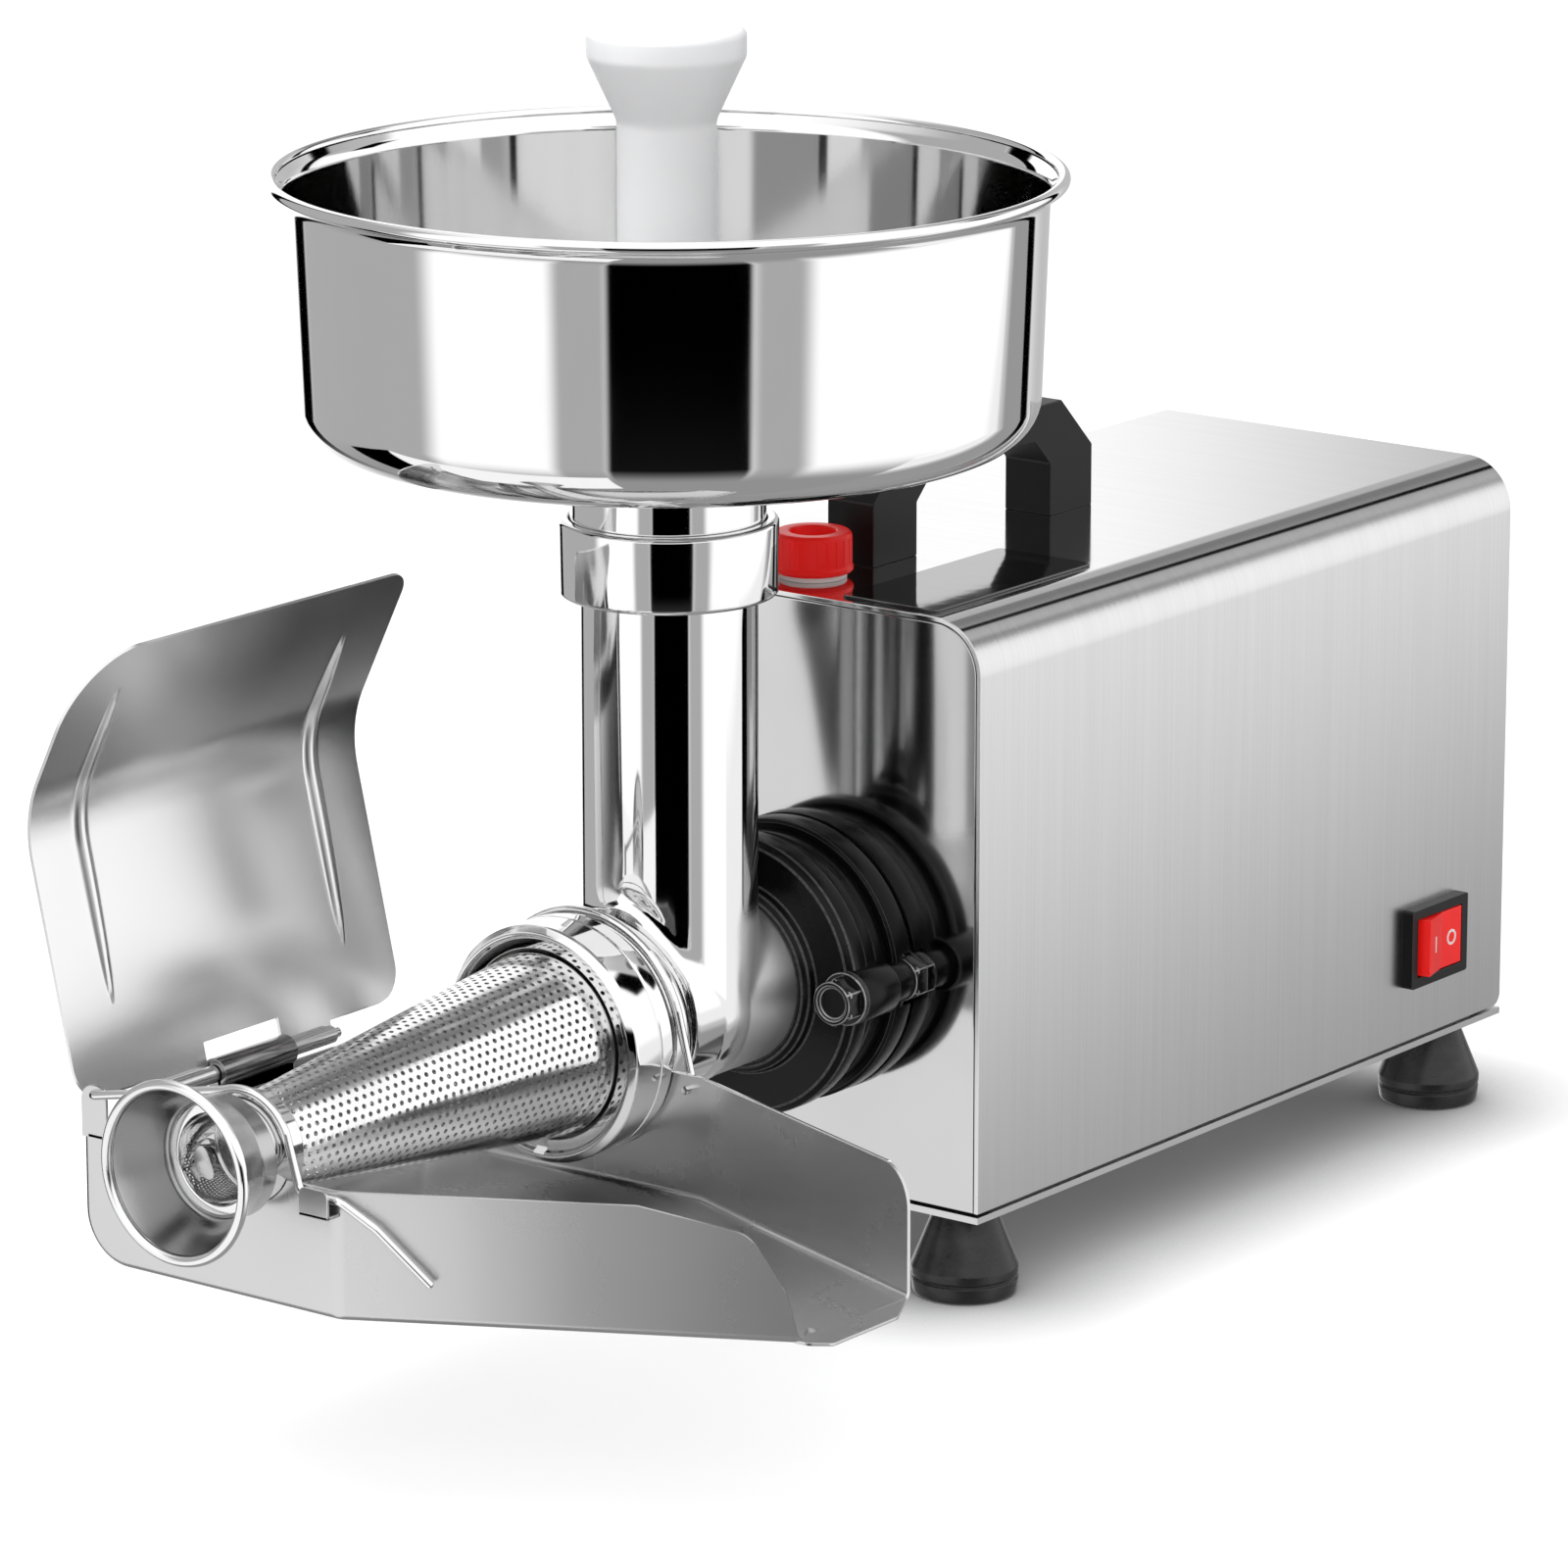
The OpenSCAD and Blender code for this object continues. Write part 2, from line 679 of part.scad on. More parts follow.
module gearbox_bearings() place() color("lightgray") {
    bearing(0, axis_h, case_y + case_wall - bearing_w, bearing_w, bearing_r, shaft_r);
    bearing(0, axis_h, cover_y, bearing_w, bearing_r, shaft_r);
    bearing(idler_x, idler_z, case_y + case_wall - small_bearing_w, small_bearing_w,
        small_bearing_r, idler_shaft_r);
    bearing(idler_x, idler_z, cover_y, small_bearing_w, small_bearing_r, idler_shaft_r);
    bearing(motor_x, motor_z, motor_y, small_bearing_w, small_bearing_r, motor_shaft_r);
    bearing(motor_x, motor_z, motor_y + motor_l - small_bearing_w, small_bearing_w,
        small_bearing_r, motor_shaft_r);
}

// Output shaft with a square socket for the auger's tang
tang_w = 9;
tang_l = 12;
socket_reach = 26;
module output_shaft() place() color("lightgray") difference() {
    bar_fwd(0, axis_h, -cover_y - bearing_w, cover_y + bearing_w + socket_reach, shaft_r);
    translate([-tang_w / 2, -socket_reach - over, axis_h - tang_w / 2])
        cube([tang_w, tang_l + over, tang_w]);
}

module output_gear() place() color("goldenrod") {
    gear(0, axis_h, slow_y, slow_w, output_teeth, slow_module, idler_turn, shaft_r);
}

module idler_gear() place() color("goldenrod") {
    gear(idler_x, idler_z, slow_y, slow_w, idler_small_teeth, slow_module,
        idler_turn + 180 + 180 / idler_small_teeth, idler_shaft_r);
    gear(idler_x, idler_z, fast_y, fast_w, idler_large_teeth, fast_module, motor_turn, idler_shaft_r);
    bar_y(idler_x, idler_z, case_y + case_wall - small_bearing_w,
        cover_y - case_y - case_wall + 2 * small_bearing_w, idler_shaft_r);
    bar_y(idler_x, idler_z, slow_y + slow_w, fast_y - slow_y - slow_w, small_bearing_r - over);
}

module motor_pinion() place() color("goldenrod")
    gear(motor_x, motor_z, fast_y, fast_w, pinion_teeth, fast_module,
        motor_turn + 180 + 180 / pinion_teeth, motor_shaft_r - over);

// Motor
case_t = 3;
air_gap = 0.6;
rotor_r = 27;
coil_room = 15;
stator_l = motor_l - 2 * small_bearing_w - 2 * coil_room;
stator_y = motor_y + (motor_l - stator_l) / 2;
fan_room = 6;
fan_r = motor_r - fan_room;
fan_l = 12;
fan_y = motor_y + motor_l + over;
shaft_end = fan_y + fan_l;
module motor_rotor() place() color("gray") {
    bar_y(motor_x, motor_z, motor_y, shaft_end - motor_y, motor_shaft_r);
    bar_y(motor_x, motor_z, fast_y, motor_y - fast_y, motor_shaft_r - over);
    bar_y(motor_x, motor_z, stator_y, stator_l, rotor_r);
}

blades = 8;
blade_t = 1.5;
module motor_fan() place() color("black") translate([motor_x, fan_y + fan_l, motor_z])
    rotate([90, 0, 0]) difference() {
        union() {
            cylinder(h = fan_l, r = motor_shaft_r * 2);
            cylinder(h = blade_t, r = fan_r);
            for (i = [0 : blades - 1]) rotate(i * 360 / blades)
                translate([motor_shaft_r, -blade_t / 2, 0])
                    cube([fan_r - motor_shaft_r - over, blade_t, fan_l]);
        }
        translate([0, 0, -over]) cylinder(h = fan_l + 2 * over, r = motor_shaft_r);
    }

slots = 12;
slot_r = 4;
slot_out = 7;
module motor_stator() place() color("dimgray") difference() {
    bar_y(motor_x, motor_z, stator_y, stator_l, motor_r - case_t);
    bar_y(motor_x, motor_z, stator_y - over, stator_l + 2 * over, rotor_r + air_gap);
    for (i = [0 : slots - 1]) {
        a = i * 360 / slots;
        bar_y(motor_x + (rotor_r + slot_out) * cos(a), motor_z + (rotor_r + slot_out) * sin(a),
            stator_y - over, stator_l + 2 * over, slot_r);
    }
}

module motor_case() place() color("gray") difference() {
    bar_y(motor_x, motor_z, motor_y, motor_l, motor_r);
    bar_y(motor_x, motor_z, motor_y + small_bearing_w + case_t,
        motor_l - 2 * small_bearing_w - 2 * case_t, motor_r - case_t);
    bar_y(motor_x, motor_z, motor_y - over, motor_l + 2 * over, small_bearing_r);
}

// Saddle that carries the motor on the base plate
saddle_w = 12;
saddle_share = 0.7;
saddle_top_share = 0.6;
saddle_place_shares = [0.25, 0.75];
saddle_x = motor_r * saddle_share;
module motor_bracket() place() color("dimgray") difference() {
    union() {
        for (q = saddle_place_shares)
            translate([motor_x - saddle_x, motor_y + motor_l * q - saddle_w / 2, foot_h + base_t])
                cube([2 * saddle_x, saddle_w, motor_z - motor_r * saddle_top_share - foot_h - base_t]);
        translate([motor_x - saddle_x, motor_y + motor_l * saddle_place_shares[0], foot_h + base_t])
            cube([2 * saddle_x, motor_l * (saddle_place_shares[1] - saddle_place_shares[0]), sheet_t * 2]);
    }
    bar_y(motor_x, motor_z, motor_y - over, motor_l + 2 * over, motor_r);
}

cap_r = 17;
cap_h = 70;
cap_room = 10;
cap_foot_r = 19;
cap_foot_h = 3;
cap_lug_w = 2;
cap_x = mid_x - housing_w / 2 + cap_r + cap_room;
cap_y = housing_l - foot_inset - screw_head_r - cap_foot_r - gear_gap;
module capacitor() place() color("whitesmoke") translate([cap_x, cap_y, foot_h + base_t]) {
    cylinder(h = cap_h, r = cap_r);
    cylinder(h = cap_foot_h, r = cap_foot_r);
    for (x = [-1, 1]) translate([x * cap_r / 2 - cap_lug_w / 2, -cap_foot_h, cap_h])
        cube([cap_lug_w, 2 * cap_foot_h, 2 * cap_foot_h]);
}

// Black flanges: two stepped rings that are bolted together at both sides
half_depth = flange_depth / 2;
disc_share = 0.29;
disc_t = flange_depth * disc_share;
ring_step = 2.5;
step_r = flange_r - ring_step;
groove_r = flange_r - 2 * ring_step;
edge_r = 2;
groove_step = 1;
bolt_inset = 2;
bolt_reach = flange_r - bolt_inset;
bolt_r = 4;
bolt_boss_share = 2.2;
lug_r = 8;
seal_share = 0.6;
seal_r = neck_r * seal_share;

module rear_flange() place() color("black") difference() {
    union() {
        turned() polygon([[0, -case_y], [neck_r, -case_y], [neck_r, 0], [flange_r - edge_r, 0],
            [flange_r, edge_r], [flange_r, disc_t - edge_r], [flange_r - edge_r, disc_t],
            [groove_r, disc_t], [groove_r, disc_t + groove_step], [step_r, disc_t + groove_step],
            [step_r, half_depth - groove_step / 2], [0, half_depth - groove_step / 2]]);
        for (x = [-1, 1]) bar_fwd(x * bolt_reach, axis_h, 0, half_depth - groove_step / 2, lug_r - edge_r);
    }
    // Room for the nuts against the front panel
    for (x = [-1, 1])
        bar_fwd(x * bolt_reach, axis_h, -over, over + flange_nut_t, bolt_head_r + part_gap);
    bar_fwd(0, axis_h, -case_y - over, flange_depth, shaft_r + gear_gap);
    bar_fwd(0, axis_h, -case_y - over, over + seal_w, seal_r);
    bar_fwd(0, axis_h, half_depth - groove_step - spigot_in, flange_depth, barrel_r);
    for (x = [-1, 1])
        bar_fwd(x * bolt_reach, axis_h, -case_y - over, flange_depth + case_y, bolt_r);
}

spigot_in = 4;
module front_flange() place() color("black") difference() {
    union() {
        turned() polygon([[0, half_depth - groove_step / 2], [step_r, half_depth - groove_step / 2],
            [step_r, flange_depth - disc_t - groove_step], [groove_r, flange_depth - disc_t - groove_step],
            [groove_r, flange_depth - disc_t], [flange_r - edge_r, flange_depth - disc_t],
            [flange_r, flange_depth - disc_t + edge_r], [flange_r, flange_depth - edge_r],
            [flange_r - edge_r, flange_depth], [barrel_r + 2 * edge_r, flange_depth],
            [barrel_r + 2 * edge_r, flange_depth + edge_r], [barrel_r + edge_r, flange_depth + 2 * edge_r],
            [0, flange_depth + 2 * edge_r]]);
        for (x = [-1, 1]) bar_fwd(x * bolt_reach, axis_h, half_depth - groove_step / 2,
            half_depth + groove_step / 2, lug_r);
    }
    bar_fwd(0, axis_h, 0, 2 * flange_depth, barrel_r);
    for (x = [-1, 1]) bar_fwd(x * bolt_reach, axis_h, 0, flange_depth + over, bolt_r);
}

washer_t = 1.6;
bolt_head_h = 6;
bolt_head_r = 7.5;
flange_nut_t = 5;
module flange_bolts() place() color("dimgray") for (x = [-1, 1]) {
    bar_fwd(x * bolt_reach, axis_h, flange_depth, washer_t, lug_r);
    bar_fwd(x * bolt_reach, axis_h, flange_depth + washer_t, bolt_head_h, bolt_head_r, $fn = 6);
    bar_fwd(x * bolt_reach, axis_h, -case_y - case_wall + 2 * over,
        flange_depth + washer_t + case_y + case_wall - 2 * over, bolt_r);
    difference() {
        bar_fwd(x * bolt_reach, axis_h, 0, flange_nut_t, bolt_head_r, $fn = 6);
        bar_fwd(x * bolt_reach, axis_h, -over, flange_nut_t + 2 * over, bolt_r + run_fit);
    }
}

module oil_seal() place() color("black") turned()
    difference() {
        translate([shaft_r + run_fit, -case_y]) square([seal_r - shaft_r - run_fit, seal_w]);
        translate([shaft_r + 2 * over, seal_w - case_y - 2 * over])
            square([seal_r - shaft_r - 4 * over, 3 * over]);
    }

// Casting: barrel, flared end, feed tube, collar and the web between them
neck_fit = 0.35;
neck_out_r = 27.9;
seat_share = 0.75;
collar_seat = collar_top - collar_h * seat_share;
collar_edge = 1.5;
web_up = 40;
web_z = axis_h + web_up;
web_from = flange_depth + 2 * edge_r + part_gap;
barrel_back = half_depth - groove_step - spigot_in;
module press_body() place() color("silver") difference() {
    union() {
        turned() polygon([[0, barrel_back], [barrel_r, barrel_back], [barrel_r, flare_from],
            [barrel_r + chamfer, flare_from + 2 * flare_l / 3], [flare_r - chamfer, flare_front - flare_l],
            [flare_r, flare_front - flare_l + chamfer], [flare_r, flare_front],
            [thread_r, flare_front], [thread_r, barrel_reach], [0, barrel_reach]]);
        translate([0, -tube_reach, axis_h]) cylinder(h = collar_top - axis_h - over, r = tube_r);
        // Web from the barrel to the feed tube
        hull() {
            bar_fwd(0, axis_h, web_from, flare_front - 2 * flare_l - web_from, barrel_r, $fn = 32);
            translate([0, -tube_reach, web_z]) cylinder(h = over, r = tube_r, $fn = 32);
        }
        // Collar with softened edges
        translate([0, -tube_reach, 0]) rotate_extrude() polygon([[0, collar_top - collar_h],
            [collar_r - collar_edge, collar_top - collar_h], [collar_r, collar_top - collar_h + collar_edge],
            [collar_r, collar_top - collar_edge], [collar_r - collar_edge, collar_top], [0, collar_top]]);
    }
    bar_fwd(0, axis_h, barrel_back - over, barrel_reach + 2 * over, bore_r);
    translate([0, -tube_reach, axis_h]) cylinder(h = collar_top, r = tube_bore_r);
    translate([0, -tube_reach, collar_seat]) cylinder(h = collar_top, r = neck_out_r + neck_fit);
}

// Auger: a core and one flight, turned and tapered towards the screen's tip
core_r = 9;
flight_gap = 0.8;
flight_r = bore_r - flight_gap;
flight_share = 0.16;
auger_from = socket_reach + 2 * over;
auger_run = 4;
auger_short = 6;
auger_mid = screen_back + auger_run;
auger_to = screen_reach - auger_short;
pitch_barrel = 31;
tip_gap = 1.2;
tip_turn_share = 1.1;
tip_share = (screen_tip_r - screen_wall - tip_gap) / flight_r;
auger_steps = 12;
auger_sides = 20;
module auger_section() {
    circle(core_r, $fn = 16);
    polygon(concat([[0, 0]], [for (i = [-1 : 1])
        let (a = i * 180 * flight_share) [flight_r * cos(a), flight_r * sin(a)]]));
}
module auger() place() color("whitesmoke") translate([0, -auger_from, axis_h]) rotate([90, 0, 0]) {
    turns_barrel = (auger_mid - auger_from) / pitch_barrel;
    turns_tip = (auger_to - auger_mid) / pitch_barrel * tip_turn_share;
    linear_extrude(auger_mid - auger_from, twist = -360 * turns_barrel,
        slices = ceil(auger_steps * turns_barrel), segments = auger_sides) auger_section();
    translate([0, 0, auger_mid - auger_from]) rotate(360 * turns_barrel)
        linear_extrude(auger_to - auger_mid, twist = -360 * turns_tip, scale = tip_share,
            slices = ceil(auger_steps * turns_tip), segments = auger_sides) auger_section();
    translate([-tang_w / 2 + push_fit, -tang_w / 2 + push_fit, -tang_l - over])
        cube([tang_w - 2 * push_fit, tang_w - 2 * push_fit, tang_l + 2 * over]);
}

module screen_gasket() place() color("white") turned()
    translate([bore_r, barrel_reach]) square([thread_r - bore_r - over, gasket_t]);

// Screen: a thin cone with a flange, drilled in staggered rows
screen_flange_r = thread_r - part_gap;
screen_plain = 7;
module screen() place() color("silver") difference() {
    turned() polygon([[bore_r, barrel_reach + gasket_t], [screen_flange_r, barrel_reach + gasket_t],
        [screen_flange_r, screen_back], [screen_r, screen_back],
        [screen_tip_r, screen_reach], [screen_tip_r - screen_wall, screen_reach],
        [screen_r - screen_wall, screen_back], [bore_r, screen_back - over / 2]]);
    for (j = [0 : screen_rows - 1], i = [0 : screen_round - 1]) {
        y = nut_front + screen_plain + j * (screen_reach - nut_front - 2 * screen_plain) / (screen_rows - 1);
        translate([0, -y, axis_h]) rotate([0, (i + (j % 2) / 2) * 360 / screen_round, 0])
            translate([0, 0, screen_tip_r / 2]) cylinder(h = screen_r, r = screen_hole_r, $fn = 20);
    }
}

// Collar nut with a recessed face round the screen
nut_recess = 1.5;
nut_rim = 3;
notch_w = 4;
module collar_nut() place() color("silver") difference() {
    turned() polygon([[screen_r + part_gap * 2, screen_back + part_gap],
        [thread_r + part_gap, screen_back + part_gap], [thread_r + part_gap, nut_back],
        [nut_r - chamfer, nut_back], [nut_r, nut_back + chamfer], [nut_r, nut_front - 2 * chamfer],
        [nut_r - chamfer, nut_front - chamfer / 3], [nut_r - 2 * chamfer, nut_front],
        [nut_r - nut_rim, nut_front], [nut_r - nut_rim - chamfer / 2, nut_front - nut_recess],
        [screen_r + part_gap * 2, nut_front - nut_recess]]);
    // Small square drain notch at the bottom of the recessed face
    translate([-notch_w / 2, -nut_front - over, axis_h - screen_r - notch_w])
        cube([notch_w, nut_recess + 3 * over, notch_w]);
}

// Nose ring on the screen's tip, with a bead that holds the funnel
nose_wall = 1.2;
nose_lap = 4;
bead_h = 1.2;
module nose_ring() place() color("silver") turned()
    polygon([[screen_tip_r + push_fit + nose_lap * (screen_r - screen_tip_r) / (screen_reach - screen_back),
            screen_reach - nose_lap], [nose_r, screen_reach - nose_lap],
        [nose_r, nose_front - 2 * nose_wall], [nose_r + bead_h, nose_front - 1.5 * nose_wall],
        [nose_r + bead_h, nose_front - nose_wall / 2], [nose_r, nose_front],
        [nose_r - 2 * nose_wall, nose_front], [nose_r - 2 * nose_wall, screen_reach],
        [screen_tip_r + push_fit, screen_reach]]);

// Waste funnel: a collar on the nose ring that opens to a rolled rim
funnel_t = 0.9;
roll_r = 1.6;
funnel_lap = 7;
funnel_from = nose_front - funnel_lap;
module funnel_profile() {
    polygon([[nose_r, funnel_from], [nose_r + bead_h + funnel_t, funnel_from + over],
        [nose_r + bead_h + funnel_t, nose_front], [funnel_r - roll_r, funnel_front - roll_r],
        [funnel_r - roll_r - funnel_t, funnel_front - roll_r], [nose_r + bead_h, nose_front + over],
        [nose_r + bead_h, nose_front - 2 * nose_wall], [nose_r, nose_front - 2.5 * nose_wall]]);
    translate([funnel_r - roll_r, funnel_front - roll_r]) circle(roll_r, $fn = 32);
}
module waste_funnel() place() color("silver") turned() funnel_profile();

// Tray in plan: front wall, slanted near wall, mouth, chute wall, rear wall, hinge wall
near_turn = 28.2;
chute_turn = 20;
chute_from = 43;
near_l = (spout_reach - tray_near) / cos(near_turn);
spout_near_y = -tray_fore + near_l * sin(near_turn);
spout_far_y = -tray_rear - (spout_reach - chute_from) * tan(chute_turn);
function tray_plan() = [[-tray_far, -tray_fore], [tray_near, -tray_fore],
    [spout_reach, spout_near_y], [spout_reach, spout_far_y],
    [chute_from, -tray_rear], [-tray_far, -tray_rear]];
far_bend_r = 15;

// Tray's section across the machine, with a large bend under the hinge wall
module tray_section(inset) {
    r = far_bend_r - inset;
    translate([-tray_far + far_bend_r, tray_floor + inset])
        square([tray_far + spout_reach + flange_w - far_bend_r, tray_rim - tray_floor + 2 * over]);
    translate([-tray_far + inset, tray_floor + far_bend_r])
        square([far_bend_r, tray_rim - tray_floor - far_bend_r + 2 * over + inset]);
    translate([-tray_far + far_bend_r, tray_floor + far_bend_r]) circle(r);
}

// Part of the near wall that is cut away, seen from its side, with a corner at the mouth's foot
rim_run = 44;
rim_shares = [[0.11, 0.4], [0.25, 0.62], [0.38, 0.82]];
module spout_rim() {
    h = tray_rim - tray_floor;
    knee = rim_shares[2] * h;
    rise = (rim_run - knee[0]) / (h - knee[1]);
    polygon(concat([[flange_w, 0], [0, 0]], [for (q = rim_shares) [-q[0] * h, q[1] * h]],
        [[-rim_run - rise * over, h + over], [flange_w, h + over]]));
}

module tray_block(inset, top) intersection() {
    linear_extrude(top) offset(delta = -inset) polygon(tray_plan());
    along_y(-tray_fore - over, tray_fore - tray_rear + 2 * over) tray_section(inset);
}

ear_h = 14;
ear_w = 9;
pin_r = 1.5;
knuckle_r = 2.6;
knuckle_bite = 0.2;
hinge_z = tray_rim + knuckle_r + over / 2;
hinge_x = -tray_far - knuckle_r + tray_t + knuckle_bite;
hinge_mid = (lid_fore + lid_aft) / 2;
hinge_l = 74;
hinge_gap = 0.4;
knuckle_l = 31;
lid_knuckle_l = 19;
clip_w = 10;
clip_x = 27;
bail_z = 103;
bail_x = -tray_far + ear_w / 2;
rear_bail_x = 38.5;
rear_bail_drop = 4;
rear_bail_z = tray_rim - rear_bail_drop;
hook_drop = 7;
hook_h = 8;
hook_out = 2 * wire_r + 3 * part_gap + tray_t;

module tray() place() color("silver") {
    difference() {
        union() {
            difference() {
                tray_block(0, tray_rim);
                tray_block(tray_t, tray_rim + over);
            }
            // Ear of the front bail at the far front corner
            translate([-tray_far, -tray_fore, tray_rim - over]) cube([ear_w, tray_t, ear_h + over]);
        }
        // Open mouth of the spout
        translate([spout_reach - 2 * tray_t, spout_near_y + tray_t, tray_floor + tray_t])
            cube([3 * tray_t, spout_far_y - spout_near_y - 2 * tray_t, tray_rim]);
        // Rim of the near wall, falling towards the mouth
        translate([spout_reach, spout_near_y, tray_floor]) rotate([0, 0, near_turn])
            along_y(-flange_w, 2 * flange_w) spout_rim();
        // Saddles for the nose ring and the barrel
        bar_fwd(0, axis_h, tray_fore - 3 * over, 6 * over, nose_r + hole_fit);
        bar_fwd(0, axis_h, tray_rear - 3 * over, 6 * over, thread_r + part_gap);
        bar_fwd(bail_x, bail_z, tray_fore - 3 * over, 6 * over, wire_r + run_fit);
        bar_fwd(rear_bail_x, rear_bail_z, tray_rear - 3 * over, 6 * over, wire_r + run_fit);
    }
    // Lip under the mouth
    along_y(spout_near_y + tray_t, spout_far_y - spout_near_y - 2 * tray_t)
        translate([spout_reach, tray_floor]) polygon([[-tray_t, 0], [0, 0],
            [spout_lip, -tray_t], [spout_lip, 0], [0, tray_t], [-tray_t, tray_t]]);
    // Open hook for the front bail
    translate([clip_x - clip_w / 2, -tray_fore - hook_out, tray_rim - hook_drop]) {
        cube([clip_w, tray_t, hook_h]);
        cube([clip_w, hook_out + tray_t / 2, tray_t]);
    }
    // Open hook for the rear bail
    translate([-rear_bail_x - clip_w / 2, -tray_rear - tray_t / 2, tray_rim - hook_drop]) {
        translate([0, hook_out - tray_t / 2, 0]) cube([clip_w, tray_t, hook_h]);
        cube([clip_w, hook_out, tray_t]);
    }
    // Hinge knuckle on the far wall
    difference() {
        union() {
            bar_y(hinge_x, hinge_z, -hinge_mid - knuckle_l / 2, knuckle_l, knuckle_r);
            translate([-tray_far, -hinge_mid - knuckle_l / 2, tray_rim - over])
                cube([tray_t, knuckle_l, hinge_z - tray_rim + over]);
        }
        bar_y(hinge_x, hinge_z, -hinge_mid - knuckle_l, 2 * knuckle_l, pin_r + run_fit);
    }
}

module lid_pin() place() color("silver") {
    bar_fwd(hinge_x, hinge_z, hinge_mid - hinge_l / 2 - over, hinge_l + 2 * over, pin_r);
}

// Lid: one sheet that leans outward and bends in again above, seen along the hinge
lid_face_x = -knuckle_r + knuckle_bite;
fold_step = 0.05;
module lid_profile(from, to) {
    translate([lid_face_x + from, 0]) square([to - from, lid_flat]);
    translate([lid_face_x + lid_bend_r, lid_flat]) {
        difference() {
            circle(lid_bend_r - from, $fn = 180);
            circle(lid_bend_r - to, $fn = 180);
            translate([-2 * lid_bend_r, -2 * lid_bend_r]) square([4 * lid_bend_r, 2 * lid_bend_r]);
            rotate(-lid_bend) translate([-2 * lid_bend_r, 0]) square([4 * lid_bend_r, 2 * lid_bend_r]);
        }
        rotate(-lid_bend) translate([from + fold_step - lid_bend_r, -over])
            square([to - from - 2 * fold_step, lid_upper + over]);
    }
}

// Height of the lid's top edge above its hinge
lid_top_x = lid_face_x + lid_bend_r * (1 - cos(lid_bend)) + lid_upper * sin(lid_bend);
lid_top_z = lid_flat + lid_bend_r * sin(lid_bend) + lid_upper * cos(lid_bend);
lid_h = lid_top_x * sin(lid_lean) + lid_top_z * cos(lid_lean);

// Side outline of the lid, with four different corners and a tab for the hinge
lid_low = 3.5;
low_corner_r = 10;
front_corner_r = 24;
rear_corner_r = 4;
module lid_outline() {
    l = lid_fore - lid_aft;
    translate([-lid_fore, lid_low]) {
        polygon([[low_corner_r, 0], [l - low_corner_r, 0], [l, low_corner_r],
            [l, lid_h - lid_low - rear_corner_r], [l - rear_corner_r, lid_h - lid_low],
            [front_corner_r, lid_h - lid_low], [0, lid_h - lid_low - front_corner_r], [0, low_corner_r]]);
        translate([low_corner_r, low_corner_r]) circle(low_corner_r);
        translate([l - low_corner_r, low_corner_r]) circle(low_corner_r);
        translate([front_corner_r, lid_h - lid_low - front_corner_r]) circle(front_corner_r);
        translate([l - rear_corner_r, lid_h - lid_low - rear_corner_r]) circle(rear_corner_r);
    }
    translate([-hinge_mid - hinge_l / 2, 0]) square([hinge_l, 2 * lid_low]);
}

window_w = knuckle_l + 2 * hinge_gap;
window_h = 9;
rib_w = 3;
rib_out = 1.2;
rib_inset = 20;
rib_low = 29;
rib_high = 112;
module lid() place() color("silver") translate([hinge_x, 0, hinge_z]) difference() {
    union() {
        difference() {
            intersection() {
                along_y(-lid_fore - over, lid_fore - lid_aft + 2 * over)
                    rotate(lid_lean) lid_profile(0, tray_t);
                translate([-lid_h, 0, 0]) rotate([90, 0, 90]) linear_extrude(2 * lid_h) lid_outline();
            }
            translate([-window_h, -hinge_mid - window_w / 2, -window_h])
                cube([2 * window_h, window_w, 2 * window_h]);
        }
        // Ribs that are pressed into the sheet
        for (y = [lid_fore - rib_inset, lid_aft + rib_inset]) along_y(-y - rib_w / 2, rib_w)
            intersection() {
                rotate(lid_lean) lid_profile(tray_t / 2, tray_t + rib_out);
                translate([-lid_h, rib_low]) square([2 * lid_h, rib_high - rib_low]);
            }
        // Knuckles at both sides of the tray's knuckle
        for (s = [-1, 1]) bar_y(0, 0, -hinge_mid - lid_knuckle_l / 2 + s * (window_w + lid_knuckle_l) / 2,
            lid_knuckle_l, knuckle_r);
    }
    bar_y(0, 0, -hinge_mid - hinge_l, 2 * hinge_l, pin_r + run_fit);
}

// Front bail: a wire over the nose ring that ends in a bent handle
front_bail_reach = tray_fore + part_gap + wire_r;
front_bail_r = nose_r + part_gap + wire_r;
front_bail_from = 25;
// Places of the front bail's grip from its hook, as shares of the hook's width
grip_shares = [[2.9, 1.1, 2.4], [1.6, 0.4, 0.9], [0.7, 0, 0.2], [-0.7, 0, 0.2]];
front_bail_to = 112;
module front_bail() place() color("silver") {
    wire([[bail_x, -tray_fore + tray_t + 2 * wire_r, bail_z], [bail_x, -front_bail_reach, bail_z],
        arc_point(front_bail_r, front_bail_to, front_bail_reach)], wire_r);
    wire_arc(front_bail_r, front_bail_from, front_bail_to, front_bail_reach, wire_r);
    wire(concat([for (q = grip_shares)
            [clip_x + q[0] * clip_w, -front_bail_reach + q[1] * clip_w, tray_rim - q[2] * clip_w]],
        [arc_point(front_bail_r, front_bail_from, front_bail_reach)]), wire_r);
}

